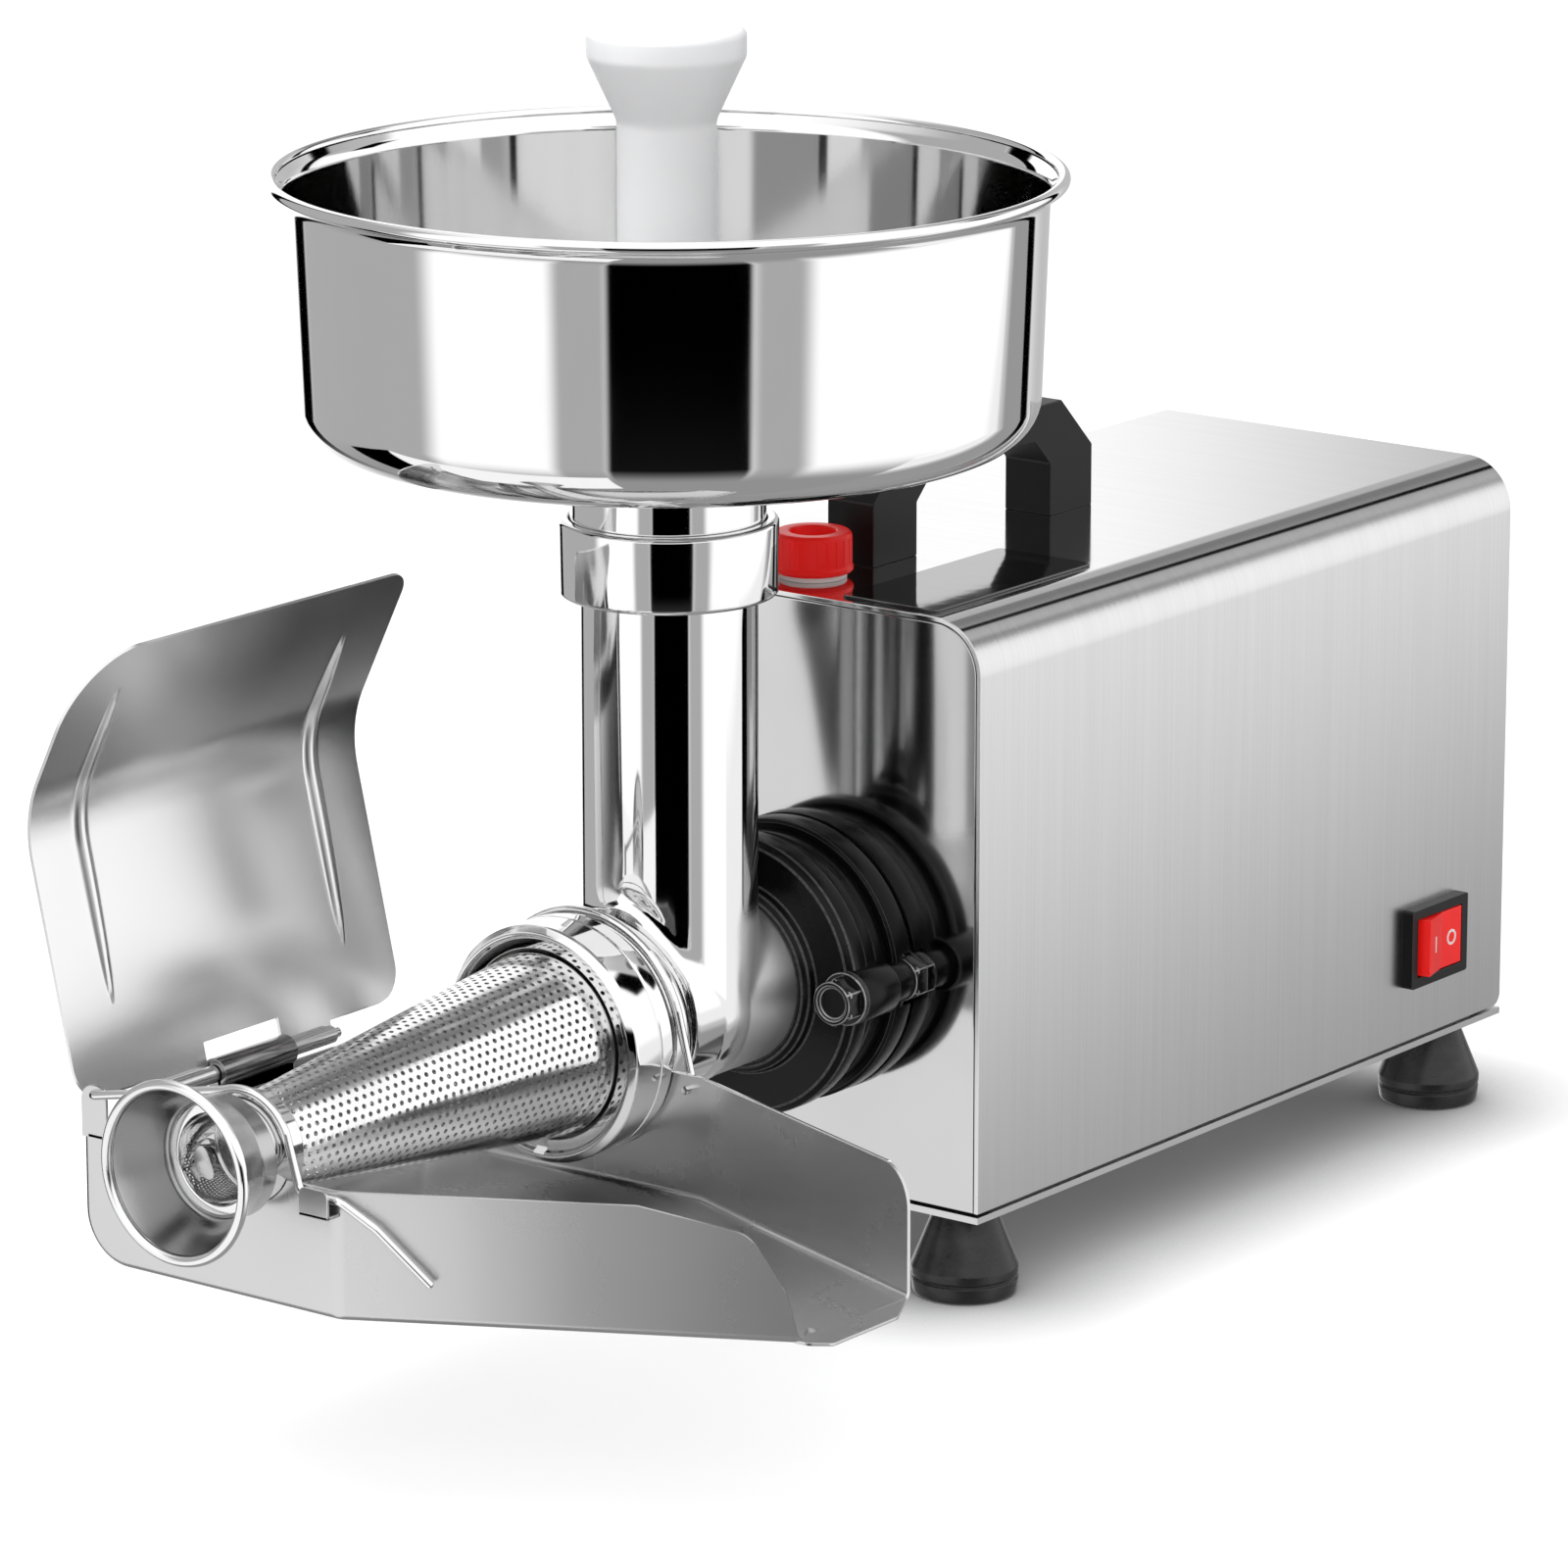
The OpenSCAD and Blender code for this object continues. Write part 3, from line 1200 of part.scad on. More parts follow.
// Rear bail: a wire over the barrel's flare, behind the nut
rear_bail_reach = tray_rear - part_gap - wire_r;
rear_bail_r = flare_r + part_gap + wire_r;
rear_bail_from = 18;
rear_grip_shares = [[1.8, 1], [1.2, 0.4], [0, 0.4]];
module rear_bail() place() color("silver") {
    wire([[rear_bail_x, -tray_rear - 2 * wire_r, rear_bail_z],
        [rear_bail_x, -rear_bail_reach, rear_bail_z],
        arc_point(rear_bail_r, rear_bail_from, rear_bail_reach)], wire_r);
    wire_arc(rear_bail_r, rear_bail_from, 180 - rear_bail_from, rear_bail_reach, wire_r);
    wire(concat([for (q = rear_grip_shares)
            [-rear_bail_x - q[0] * clip_w, -rear_bail_reach, tray_rim - q[1] * clip_w]],
        [arc_point(rear_bail_r, 180 - rear_bail_from, rear_bail_reach)]), wire_r);
}

// Hopper: a bowl with a rolled rim, a rounded bottom edge and a neck
hopper_t = 0.9;
hopper_z = collar_top + neck_show;
hopper_top = hopper_z + hopper_h;
rim_roll_r = 1.8;
dish_fall = 3;
module hopper_outer() {
    polygon([[0, hopper_z - dish_fall], [neck_out_r, hopper_z - dish_fall],
        [hopper_low_r - hopper_bend_r, hopper_z], [hopper_low_r - hopper_bend_r, hopper_top],
        [0, hopper_top]]);
    polygon([[0, hopper_z + hopper_bend_r], [hopper_low_r, hopper_z + hopper_bend_r],
        [hopper_r, hopper_top - rim_roll_r * 3], [rim_r - rim_roll_r, hopper_top - rim_roll_r],
        [rim_r - rim_roll_r, hopper_top], [0, hopper_top]]);
    translate([hopper_low_r - hopper_bend_r, hopper_z + hopper_bend_r]) circle(hopper_bend_r);
}
module hopper_inner() {
    r = hopper_bend_r - hopper_t;
    polygon([[0, hopper_z - dish_fall + hopper_t], [neck_out_r, hopper_z - dish_fall + hopper_t],
        [hopper_low_r - hopper_bend_r, hopper_z + hopper_t],
        [hopper_low_r - hopper_bend_r, hopper_top + over], [0, hopper_top + over]]);
    polygon([[0, hopper_z + hopper_bend_r], [hopper_low_r - hopper_t, hopper_z + hopper_bend_r],
        [hopper_r - hopper_t, hopper_top - rim_roll_r * 3],
        [rim_r - rim_roll_r * 2, hopper_top - rim_roll_r + hopper_t],
        [rim_r - rim_roll_r * 2, hopper_top + over], [0, hopper_top + over]]);
    translate([hopper_low_r - hopper_bend_r, hopper_z + hopper_bend_r]) circle(r);
}
neck_step = 1.5;
neck_bore_r = tube_bore_r + neck_step;
neck_foot = collar_seat + part_gap;
neck_top = hopper_z - dish_fall + hopper_t;
module hopper() place() color("silver") translate([0, -tube_reach, 0]) difference() {
    union() {
        rotate_extrude() difference() {
            hopper_outer();
            hopper_inner();
        }
        translate([0, 0, hopper_top - rim_roll_r]) rotate_extrude()
            translate([rim_r - rim_roll_r, 0]) circle(rim_roll_r, $fn = 32);
        translate([0, 0, neck_foot]) cylinder(h = neck_top - neck_foot, r = neck_out_r);
    }
    translate([0, 0, neck_foot - over]) cylinder(h = neck_top - neck_foot + 2 * over, r = neck_bore_r);
}

// Pusher: a round stem, a flange that rests on the hopper's floor and a knob
pusher_seat = neck_top + part_gap;
pusher_flange_h = 14;
upper_stem_r = 14;
// The knob is straight over this share of its length, and then tapers to the stem
knob_l = 26;
knob_share = 0.3;
module pusher() place() color("whitesmoke") translate([0, -tube_reach, pusher_seat])
    rotate_extrude() polygon([[0, -pusher_down], [stem_r - chamfer, -pusher_down],
        [stem_r, -pusher_down + chamfer], [stem_r, 0], [pusher_flange_r - chamfer, 0],
        [pusher_flange_r, chamfer], [pusher_flange_r, pusher_flange_h - chamfer],
        [pusher_flange_r - chamfer, pusher_flange_h], [upper_stem_r, pusher_flange_h],
        [upper_stem_r, pusher_up - knob_l], [knob_r, pusher_up - knob_l * knob_share],
        [knob_r, pusher_up - chamfer], [knob_r - chamfer, pusher_up], [0, pusher_up]]);

housing_shell();
front_panel();
rear_panel();
base_plate();
base_screws();
feet();
foot_screws();
handle();
handle_screws();
label_plate();
switch_bezel();
switch_rocker();
vent_plug();
vent_gasket();
cord_gland();
gearbox_case();
gearbox_cover();
gearbox_bearings();
output_shaft();
output_gear();
idler_gear();
motor_pinion();
motor_rotor();
motor_fan();
motor_stator();
motor_case();
motor_bracket();
capacitor();
rear_flange();
front_flange();
flange_bolts();
oil_seal();
press_body();
auger();
screen_gasket();
screen();
collar_nut();
nose_ring();
waste_funnel();
tray();
lid_pin();
lid();
front_bail();
rear_bail();
hopper();
pusher();
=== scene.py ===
"""Electric tomato press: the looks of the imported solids, with its stage, lamps and camera."""

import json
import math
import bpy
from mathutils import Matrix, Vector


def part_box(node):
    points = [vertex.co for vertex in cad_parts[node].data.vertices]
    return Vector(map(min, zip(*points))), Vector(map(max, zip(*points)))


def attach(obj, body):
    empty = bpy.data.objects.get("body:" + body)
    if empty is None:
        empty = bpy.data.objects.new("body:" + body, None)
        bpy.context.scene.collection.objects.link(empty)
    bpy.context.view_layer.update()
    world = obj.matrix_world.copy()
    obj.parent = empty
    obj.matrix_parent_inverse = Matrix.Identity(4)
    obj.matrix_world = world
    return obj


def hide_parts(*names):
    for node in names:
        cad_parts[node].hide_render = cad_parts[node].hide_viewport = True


bl_info = {
    "name": "Electric Tomato Press",
    "version": (1, 0, 0),
    "blender": (4, 5, 0),
    "location": "3D View > Sidebar > Press",
    "description": "Builds the dressed pieces of an electric tomato press around its solids",
    "category": "Object",
}

import bmesh
import bpy
import numpy as np
from bpy.props import FloatProperty, FloatVectorProperty, IntProperty, PointerProperty
from mathutils import Matrix, Vector

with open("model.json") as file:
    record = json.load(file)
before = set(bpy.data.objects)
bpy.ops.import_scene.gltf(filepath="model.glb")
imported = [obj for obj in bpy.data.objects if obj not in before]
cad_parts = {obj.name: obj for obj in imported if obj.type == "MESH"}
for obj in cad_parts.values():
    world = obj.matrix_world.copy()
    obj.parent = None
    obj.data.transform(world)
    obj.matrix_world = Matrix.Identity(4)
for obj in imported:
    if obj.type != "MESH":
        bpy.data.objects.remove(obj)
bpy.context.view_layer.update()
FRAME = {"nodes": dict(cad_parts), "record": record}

MM = 0.001
# The barrel axis, the front panel and the collar in the frame, in millimetres
AXIS_X = (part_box("screen")[0].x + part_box("screen")[1].x) / 2 / MM
AXIS_Z = (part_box("screen")[0].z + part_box("screen")[1].z) / 2 / MM
PANEL_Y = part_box("front_panel")[0].y / MM
COLLAR_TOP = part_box("press_body")[1].z / MM
# How far the feed tube's axis stands before the front panel
TUBE = 61.5
FEED = (0, -TUBE)


# Sizes and colours


def length(name, description, default, low, high):
    """A length in millimetres, kept in metres"""
    return FloatProperty(name=name, description=description, default=default * MM, min=low * MM,
                         max=high * MM, unit="LENGTH", precision=5)


def colour(name, description, default):
    return FloatVectorProperty(name=name, description=description, default=default, size=3, min=0,
                               max=1, subtype="COLOR")


class PressSizes(bpy.types.PropertyGroup):
    """Sizes of the small shapes that the solids leave out"""

    hole_pitch: length("Hole pitch", "Distance between two holes of the screen", 2.95, 2.4, 4)
    hole_radius: length("Hole radius", "Radius of a hole in the screen", 0.72, 0.4, 1)
    sheet_edge: length("Sheet edge", "Rounding of the cut edges of sheet metal", 0.25, 0.1, 0.45)
    plug_ribs: IntProperty(name="Plug ribs", description="Ribs round the vent plug", default=24,
                           min=12, max=36)
    turn_steps: IntProperty(name="Turn steps", description="Sides of a large turned piece",
                            default=192, min=48, max=360)
    chute_corner: length("Chute corner", "Rounding of the chute wall's upper corner at the mouth", 11, 4, 18)
    knuckle_radius: length("Knuckle radius", "Outer radius of the tray's rolled hinge knuckle", 4.4, 3, 6)
    rib_height: length("Rib height", "Height of the two ribs that are pressed into the lid", 1.7, 0.5, 2.5)
    rib_width: length("Rib width", "Width of the pressed ribs", 3.4, 2, 6)
    fillet: length("Fillet", "Rounding between the feed tube and the barrel", 9, 2, 14)


class PressColours(bpy.types.PropertyGroup):
    """Colours of the finishes, as the surfaces have them in plain light"""

    steel: colour("Steel", "Polished and brushed stainless steel", (0.80, 0.80, 0.80))
    black: colour("Black", "Black enamel and mouldings", (0.012, 0.012, 0.013))
    rubber: colour("Rubber", "Rubber of the feet", (0.022, 0.022, 0.023))
    red: colour("Red", "Vent plug and rocker", (0.78, 0.010, 0.008))
    white: colour("White", "Food-grade plastic of the pusher", (0.93, 0.935, 0.94))


class PressStage(bpy.types.PropertyGroup):
    """Light and view"""

    lens: FloatProperty(name="Lens", description="Focal length of the camera in mm", default=184.6,
                        min=20, max=400)
    key_power: FloatProperty(name="Key lamp", description="Power of the large lamp in watts", default=9,
                             min=0, max=200, unit="POWER")
    fill_power: FloatProperty(name="Fill lamp", description="Power of the fill lamp in watts", default=5,
                              min=0, max=200, unit="POWER")
    floor: colour("Floor", "Colour of the floor", (0.90, 0.90, 0.90))


# Node trees


def math_node(operation, swapped=False):
    """A method that adds one Math node. Its own value comes first, or last where it is swapped"""

    def method(self, *others):
        parts = (*others, self) if swapped else (self, *others)
        return self.graph.add("ShaderNodeMath", dict(enumerate(parts)), operation=operation)[0]

    return method


class Value:
    """One output in a node tree, which is used in sums as a number is"""

    def __init__(self, graph, socket):
        self.graph = graph
        self.socket = socket

    __add__ = math_node("ADD")
    __radd__ = math_node("ADD", swapped=True)
    __sub__ = math_node("SUBTRACT")
    __rsub__ = math_node("SUBTRACT", swapped=True)
    __mul__ = math_node("MULTIPLY")
    __rmul__ = math_node("MULTIPLY", swapped=True)
    __truediv__ = math_node("DIVIDE")
    __pow__ = math_node("POWER")
    __mod__ = math_node("FLOORED_MODULO")
    __gt__ = math_node("GREATER_THAN")
    __abs__ = math_node("ABSOLUTE")
    sin = math_node("SINE")
    cos = math_node("COSINE")
    floor = math_node("FLOOR")
    atan2 = math_node("ARCTAN2")
    root = math_node("SQRT")

    def __neg__(self):
        return self * -1.0

    def step(self, low, high):
        """0 below low, 1 above high, and a soft step between them"""
        return self.graph.add("ShaderNodeMapRange", {0: self, 1: low, 2: high},
                              interpolation_type="SMOOTHSTEP")[0]

    def band(self, low, high, soft):
        """1 between low and high, with soft edges"""
        return self.step(low - soft / 2, low + soft / 2) * (1 - self.step(high - soft / 2, high + soft / 2))


class Made:
    """A node whose outputs are read by name or number"""

    def __init__(self, graph, node):
        self.graph = graph
        self.node = node

    def __getitem__(self, key):
        return Value(self.graph, self.node.outputs[key])


class Graph:
    """A node tree with one method that adds any node"""

    def __init__(self, tree):
        self.tree = tree

    def add(self, kind, sockets=None, **settings):
        """A new node. A value is linked to its socket, and a number or colour stays on it"""
        node = self.tree.nodes.new(kind)
        for key, value in settings.items():
            setattr(node, key, value)
        for key, value in (sockets or {}).items():
            for one in value if isinstance(value, list) else [value]:
                if isinstance(one, Value):
                    self.tree.links.new(one.socket, node.inputs[key])
                else:
                    node.inputs[key].default_value = one
        return Made(self, node)

    def axes(self, vector):
        parts = self.add("ShaderNodeSeparateXYZ", {0: vector})
        return parts[0], parts[1], parts[2]

    def vector(self, x, y, z):
        return self.add("ShaderNodeCombineXYZ", {0: x, 1: y, 2: z})[0]

    def grey(self, red, blue=None):
        """A colour from one value, or with a blue of its own"""
        return self.add("ShaderNodeCombineColor", {0: red, 1: red, 2: blue or red})[0]

    def mix(self, share, first, second):
        return self.add("ShaderNodeMix", {0: share, 6: first, 7: second}, data_type="RGBA")[2]

    def tinted(self, share, tint, low, high=1.0):
        """A tint whose strength goes from low to high with a share"""
        return self.mix(share, rgba(tint, low), rgba(tint, high))

    def set_on(self, points, shape, **sockets):
        """One copy of an object on each point"""
        item = self.add("GeometryNodeObjectInfo", {"Object": shape, "As Instance": True})
        return self.add("GeometryNodeInstanceOnPoints", {"Points": points[0], "Instance": item["Geometry"],
                                                         **sockets})[0]


def rgba(c, strength=1.0):
    return (c[0] * strength, c[1] * strength, c[2] * strength, 1.0)


class Finish(Graph):
    """A material, which is a node tree that ends in one shader"""

    def __init__(self, name):
        self.material = bpy.data.materials.new(name)
        self.material.use_nodes = True
        super().__init__(self.material.node_tree)
        self.tree.nodes.clear()

    def place(self, sizes=1):
        """Object coordinates in millimetres, stretched by one size or by three"""
        sizes = sizes if isinstance(sizes, tuple) else (sizes,) * 3
        point = self.add("ShaderNodeTexCoord")["Object"]
        scale = tuple(s / MM for s in sizes)
        return self.add("ShaderNodeMapping", {"Vector": point, "Scale": scale}, vector_type="POINT")[0]

    def noise(self, sizes, detail=2.0, rough=0.5):
        """Noise with as many grains to a millimetre as its sizes say"""
        return self.add("ShaderNodeTexNoise", {"Vector": self.place(sizes), "Scale": 1.0, "Detail": detail,
                                               "Roughness": rough})[0]

    def edge(self):
        """1 on the rounded edges that edged() has marked, and 0 elsewhere"""
        return self.add("ShaderNodeAttribute", attribute_name="edge")["Fac"]

    def bump(self, height, strength, distance):
        return self.add("ShaderNodeBump", {"Height": height, "Strength": strength,
                                           "Distance": distance * MM})[0]

    def shade(self, **sockets):
        """Ends the tree in a Principled shader with these sockets"""
        names = {k.replace("_", " ").title().replace("Ior", "IOR"): v for k, v in sockets.items()}
        return self.end(self.add("ShaderNodeBsdfPrincipled", names))

    def end(self, shader):
        self.add("ShaderNodeOutputMaterial", {"Surface": shader[0]})
        return self.material


def polished_steel(name, tint, rough=0.045, smear=0.05):
    """Buffed stainless steel: nearly a mirror, with wipe marks and hair-fine scratches"""
    f = Finish(name)
    wipe = f.noise((0.03, 0.03, 0.012), 4.0, 0.6)
    scratch = f.noise((0.4, 2.4, 2.4))
    mottled = wipe.step(0.45, 0.75)
    return f.shade(base_color=f.tinted(mottled * 0.35, tint, 1.0, 0.93), metallic=1.0,
                   roughness=rough + smear * mottled + 0.015 * scratch, normal=f.bump(wipe, 0.03, 0.10))


def cast_steel(name, tint):
    """The buffed casting, whose neck by the flange is left with its soft blasted skin"""
    f = Finish(name)
    _, y, z = f.axes(f.place())
    neck = (y - PANEL_Y).step(-66, -58) * (1 - z.step(AXIS_Z + 24, AXIS_Z + 34))
    wipe = f.noise((0.03, 0.03, 0.012), 4.0, 0.6)
    skin = f.noise(1.1, 3.0, 0.6)
    mottled = wipe.step(0.45, 0.75)
    return f.shade(base_color=f.tinted(mottled * 0.35, tint, 1.0, 0.93), metallic=1.0,
                   roughness=0.045 + 0.04 * mottled + neck * (0.38 + 0.06 * skin),
                   normal=f.bump(wipe + skin * neck * 0.4, 0.03, 0.10))


def wavy_steel(name, tint, rough):
    """Thin polished sheet, pulled slightly out of true by its screws, so that what it mirrors wavers"""
    f = Finish(name)
    wave = f.noise((0.022, 0.022, 0.006), 1.0, 0.4)
    cloud = f.noise(0.02, 3.0)
    return f.shade(base_color=f.tinted(cloud.step(0.3, 0.75), tint, 0.94), metallic=1.0,
                   roughness=rough + 0.03 * cloud, normal=f.bump(wave, 0.35, 2.0))


def satin_steel(name, tint, rough):
    """Rolled sheet with a soft grain, clouded where it was bent and wiped"""
    f = Finish(name)
    grain = f.noise((0.3, 0.9, 0.3), 1.0, 0.4)
    cloud = f.noise(0.018, 1.0, 0.4).step(0.3, 0.75)
    return f.shade(base_color=f.tinted(cloud, tint, 0.93), metallic=1.0,
                   roughness=rough + 0.05 * cloud + 0.02 * grain, normal=f.bump(grain, 0.015, 0.03))


def brushed_steel(name, tint, rough=0.27, mirror=0.07):
    """Sheet brushed round the bend: satin on the sides, and buffed to a mirror on the top"""
    f = Finish(name)
    _, _, z = f.axes(f.place())
    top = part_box("housing_shell")[1].z / MM
    rough = rough - (rough - mirror) * z.step(top - 8, top - 2)
    fine = f.noise((0.01, 2.2, 0.01), 2.0, 0.6)
    wide = f.noise((0.006, 0.22, 0.006))
    lines = 0.7 * fine + 0.3 * wide
    return f.shade(base_color=f.tinted(lines.step(0.3, 0.7), tint, 0.93), metallic=1.0,
                   roughness=rough + 0.03 * fine, normal=f.bump(lines, 0.02, 0.03))


def enamel(name, tint, rough, gloss, worn=0.0, coat=0.0):
    """Thick gloss paint over a casting, rubbed thin along its edges, where the lighter bare metal is partly wear
    and partly a painted edge highlight
    """
    f = Finish(name)
    peel = f.noise(0.16)
    dust = f.noise(0.9, 3.0, 0.7)
    # The marked edges turn to lighter bare metal: partly wear, partly a painted highlight of the rounded edges
    rubbed_and_highlit = f.edge() * worn * (0.55 + 0.45 * dust.step(0.35, 0.6))
    skin = f.mix(dust.step(0.5, 0.8) * 0.5, rgba(tint), rgba([c + 0.006 for c in tint]))
    return f.shade(base_color=f.mix(rubbed_and_highlit, skin, (0.5, 0.5, 0.5, 1.0)), metallic=rubbed_and_highlit,
                   roughness=rough + 0.06 * dust, coat_weight=coat, coat_roughness=0.05,
                   specular_ior_level=gloss, normal=f.bump(peel, 0.12, 0.20))


def moulding(name, tint, rough, grain, coat=0.0, glow=0.0, gloss=0.5, worn=0.0):
    """Moulded plastic with a fine spark-eroded grain, shinier where its edges are handled"""
    f = Finish(name)
    pits = f.noise(2.2, 2.0, 0.6)
    flow = f.noise((0.05, 0.05, 0.02))
    # The glow is painted light: the red plug and rocker shine a little though no lamp is in them
    painted_glow = {"emission_color": rgba(tint), "emission_strength": glow} if glow else {}
    skin = f.mix(flow.step(0.3, 0.7) * 0.6, rgba(tint), rgba([min(1, c * 1.25) for c in tint]))
    return f.shade(base_color=f.mix(f.edge() * worn, skin, (0.10, 0.10, 0.10, 1.0)),
                   roughness=rough + 0.10 * pits - 0.10 * f.edge(), coat_weight=coat, coat_roughness=0.08,
                   specular_ior_level=gloss, normal=f.bump(pits, grain, 0.06), **painted_glow)


def milky_plastic(name, tint):
    """Translucent food-grade plastic"""
    f = Finish(name)
    flow = f.noise((0.03, 0.03, 0.012))
    pits = f.noise(1.6)
    return f.shade(base_color=f.tinted(flow.step(0.3, 0.7), tint, 0.95), roughness=0.34 + 0.08 * pits,
                   subsurface_weight=0.25, subsurface_radius=(0.006, 0.0065, 0.007),
                   normal=f.bump(pits, 0.06, 0.05))


def rubber(name, tint):
    f = Finish(name)
    bloom = f.noise((0.12, 0.12, 0.2), 3.0, 0.6)
    pits = f.noise(3.0)
    return f.shade(base_color=f.tinted(bloom.step(0.4, 0.8), tint, 1.0, 1.9),
                   roughness=0.22 + 0.12 * bloom, specular_ior_level=0.35, normal=f.bump(pits, 0.06, 0.05))


def machined(name, tint, rough, metal=1.0):
    """Turned or cast metal of the inner pieces"""
    f = Finish(name)
    rings = f.noise((0.36, 3.6, 0.36))
    stain = f.noise(0.05, 3.0)
    return f.shade(base_color=f.tinted(stain.step(0.35, 0.7), tint, 0.78), metallic=metal,
                   roughness=rough + 0.15 * rings, normal=f.bump(rings, 0.2, 0.05))


# Each finish: its maker, its material's name, its colour and the strength of that, and the maker's settings
FINISHES = {
    "polished": (polished_steel, "polished_steel", "steel", 1.0, {}),
    "bowl": (polished_steel, "bowl_steel", "steel", 1.0, {"rough": 0.03, "smear": 0.03}),
    "screen": (polished_steel, "screen_steel", "steel", 1.0, {"rough": 0.14, "smear": 0.06}),
    "wire": (polished_steel, "wire_steel", "steel", 1.0, {"rough": 0.12}),
    # The knuckle's steel is darkened to about a third: painted shade for the knuckle that sits in the shade under
    # the lid
    "knuckle": (polished_steel, "knuckle_steel", "steel", 0.35, {"rough": 0.12, "smear": 0.06}),
    "casting": (cast_steel, "casting_steel", "steel", 1.0, {}),
    "panel": (wavy_steel, "panel_steel", "steel", 0.72, {"rough": 0.07}),
    "spun": (satin_steel, "spun_steel", "steel", 0.62, {"rough": 0.20}),
    "satin": (satin_steel, "satin_steel", "steel", 0.80, {"rough": 0.24}),
    "lid": (satin_steel, "lid_steel", "steel", 0.98, {"rough": 0.19}),
    "base": (satin_steel, "base_steel", "steel", 0.9, {"rough": 0.3}),
    "brushed": (brushed_steel, "brushed_steel", "steel", 0.88, {}),
    # On the enamel and the bolts, worn lightens the marked edges: wear, and also a painted highlight of their
    # rounded edges
    "enamel": (enamel, "black_enamel", "black", 0.3, {"rough": 0.22, "gloss": 0.16, "worn": 0.16}),
    "bolt": (enamel, "bolt_black", "black", 0.4, {"rough": 0.16, "gloss": 0.3, "worn": 0.7}),
    "plate": (enamel, "gloss_plate", "black", 0.5, {"rough": 0.03, "gloss": 0.8, "coat": 0.5}),
    "handle": (moulding, "black_moulding", "black", 0.2,
               {"rough": 0.38, "grain": 0.10, "gloss": 0.22, "worn": 0.3}),
    "bezel": (moulding, "bezel_moulding", "black", 0.6,
              {"rough": 0.34, "grain": 0.08, "gloss": 0.30, "worn": 0.5}),
    # The red plug and rocker glow a little: painted light that lifts their red where the bowl shades them
    "red": (moulding, "red_moulding", "red", 1.0,
            {"rough": 0.30, "grain": 0.04, "glow": 0.16, "gloss": 0.25}),
    "rocker": (moulding, "rocker_red", "red", 1.0,
               {"rough": 0.16, "grain": 0.02, "coat": 0.2, "glow": 0.20, "gloss": 0.25}),
    "mark": (moulding, "mark_white", (0.8, 0.76, 0.74), 1.0, {"rough": 0.4, "grain": 0.02}),
    "gasket": (moulding, "gasket_white", (0.75, 0.75, 0.73), 1.0, {"rough": 0.55, "grain": 0.1}),
    "rubber": (rubber, "foot_rubber", "rubber", 1.0, {}),
    "white": (milky_plastic, "milky_plastic", "white", 1.0, {}),
    "screw": (machined, "screw_steel", (0.42, 0.42, 0.43), 1.0, {"rough": 0.18}),
    "cast": (machined, "cast_aluminium", (0.55, 0.55, 0.54), 1.0, {"rough": 0.4}),
    "gear": (machined, "gear_steel", (0.5, 0.49, 0.47), 1.0, {"rough": 0.28}),
    "painted": (machined, "motor_paint", (0.10, 0.11, 0.12), 1.0, {"rough": 0.45, "metal": 0.0}),
    "laminate": (machined, "stator_laminate", (0.36, 0.30, 0.26), 1.0, {"rough": 0.45}),
}
MATERIALS = {}


def finish(key):
    """One material for each finish, made when it is first asked for"""
    if key not in MATERIALS:
        maker, name, source, strength, settings = FINISHES[key]
        tint = getattr(bpy.context.scene.press_colours, source) if isinstance(source, str) else source
        MATERIALS[key] = maker(name, [c * strength for c in tint], **settings)
    return MATERIALS[key]


# Meshes


def at(x, y, z):
    """A point of the machine, from the barrel axis and front panel, in the frame"""
    return Vector(((AXIS_X + x) * MM, (PANEL_Y + y) * MM, z * MM))


PLANES = {
    "xy": lambda u, v, h: at(u, v, h),
    "xz": lambda u, v, h: at(u, h, v),
    "yz": lambda u, v, h: at(h, u, v),
}


def shown(name, data):
    """A new object in the scene"""
    obj = bpy.data.objects.new(name, data)
    bpy.context.scene.collection.objects.link(obj)
    return obj


def body_of(node):
    for body, nodes in FRAME["record"]["behaviour"]["bodies"].items():
        if node in nodes:
            return body
    raise ValueError("no body holds " + node)


def piece(name, mesh, material, node, stands_in=True, sharp=30.0, flat=False):
    """Shows a mesh as one piece that rides with a solid, and stands in for it or goes with what does.

    Flat sheet has its normals led by its large faces.
    """
    mesh.materials.clear()
    mesh.materials.append(finish(material))
    if not mesh.has_custom_normals:
        mesh.polygons.foreach_set("use_smooth", [True] * len(mesh.polygons))
        mesh.set_sharp_from_angle(angle=math.radians(sharp))
        mesh.update()
    if flat:
        mesh = with_modifiers(name, mesh, ("WEIGHTED_NORMAL", {"mode": "FACE_AREA", "weight": 50,
                                                               "keep_sharp": True}))
    obj = shown(name, mesh)
    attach(obj, body_of(node))
    if stands_in:
        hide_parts(node)


def from_bmesh(name, bm, fix=True):
    if fix:
        bmesh.ops.remove_doubles(bm, verts=bm.verts, dist=1e-7)
        bmesh.ops.recalc_face_normals(bm, faces=bm.faces)
    mesh = bpy.data.meshes.new(name)
    bm.to_mesh(mesh)
    bm.free()
    return mesh


def skin(bm, rings, closed=False):
    """Faces between each ring of points and the next. Points that are the same one count once"""
    for one, two in zip(rings, rings[1:] + (rings[:1] if closed else [])):
        for k in range(len(one)):
            j = (k + 1) % len(one)
            corners = [one[k], one[j], two[j], two[k]]
            corners = [v for i, v in enumerate(corners) if v not in corners[:i]]
            if len(corners) > 2:
                bm.faces.new(corners)


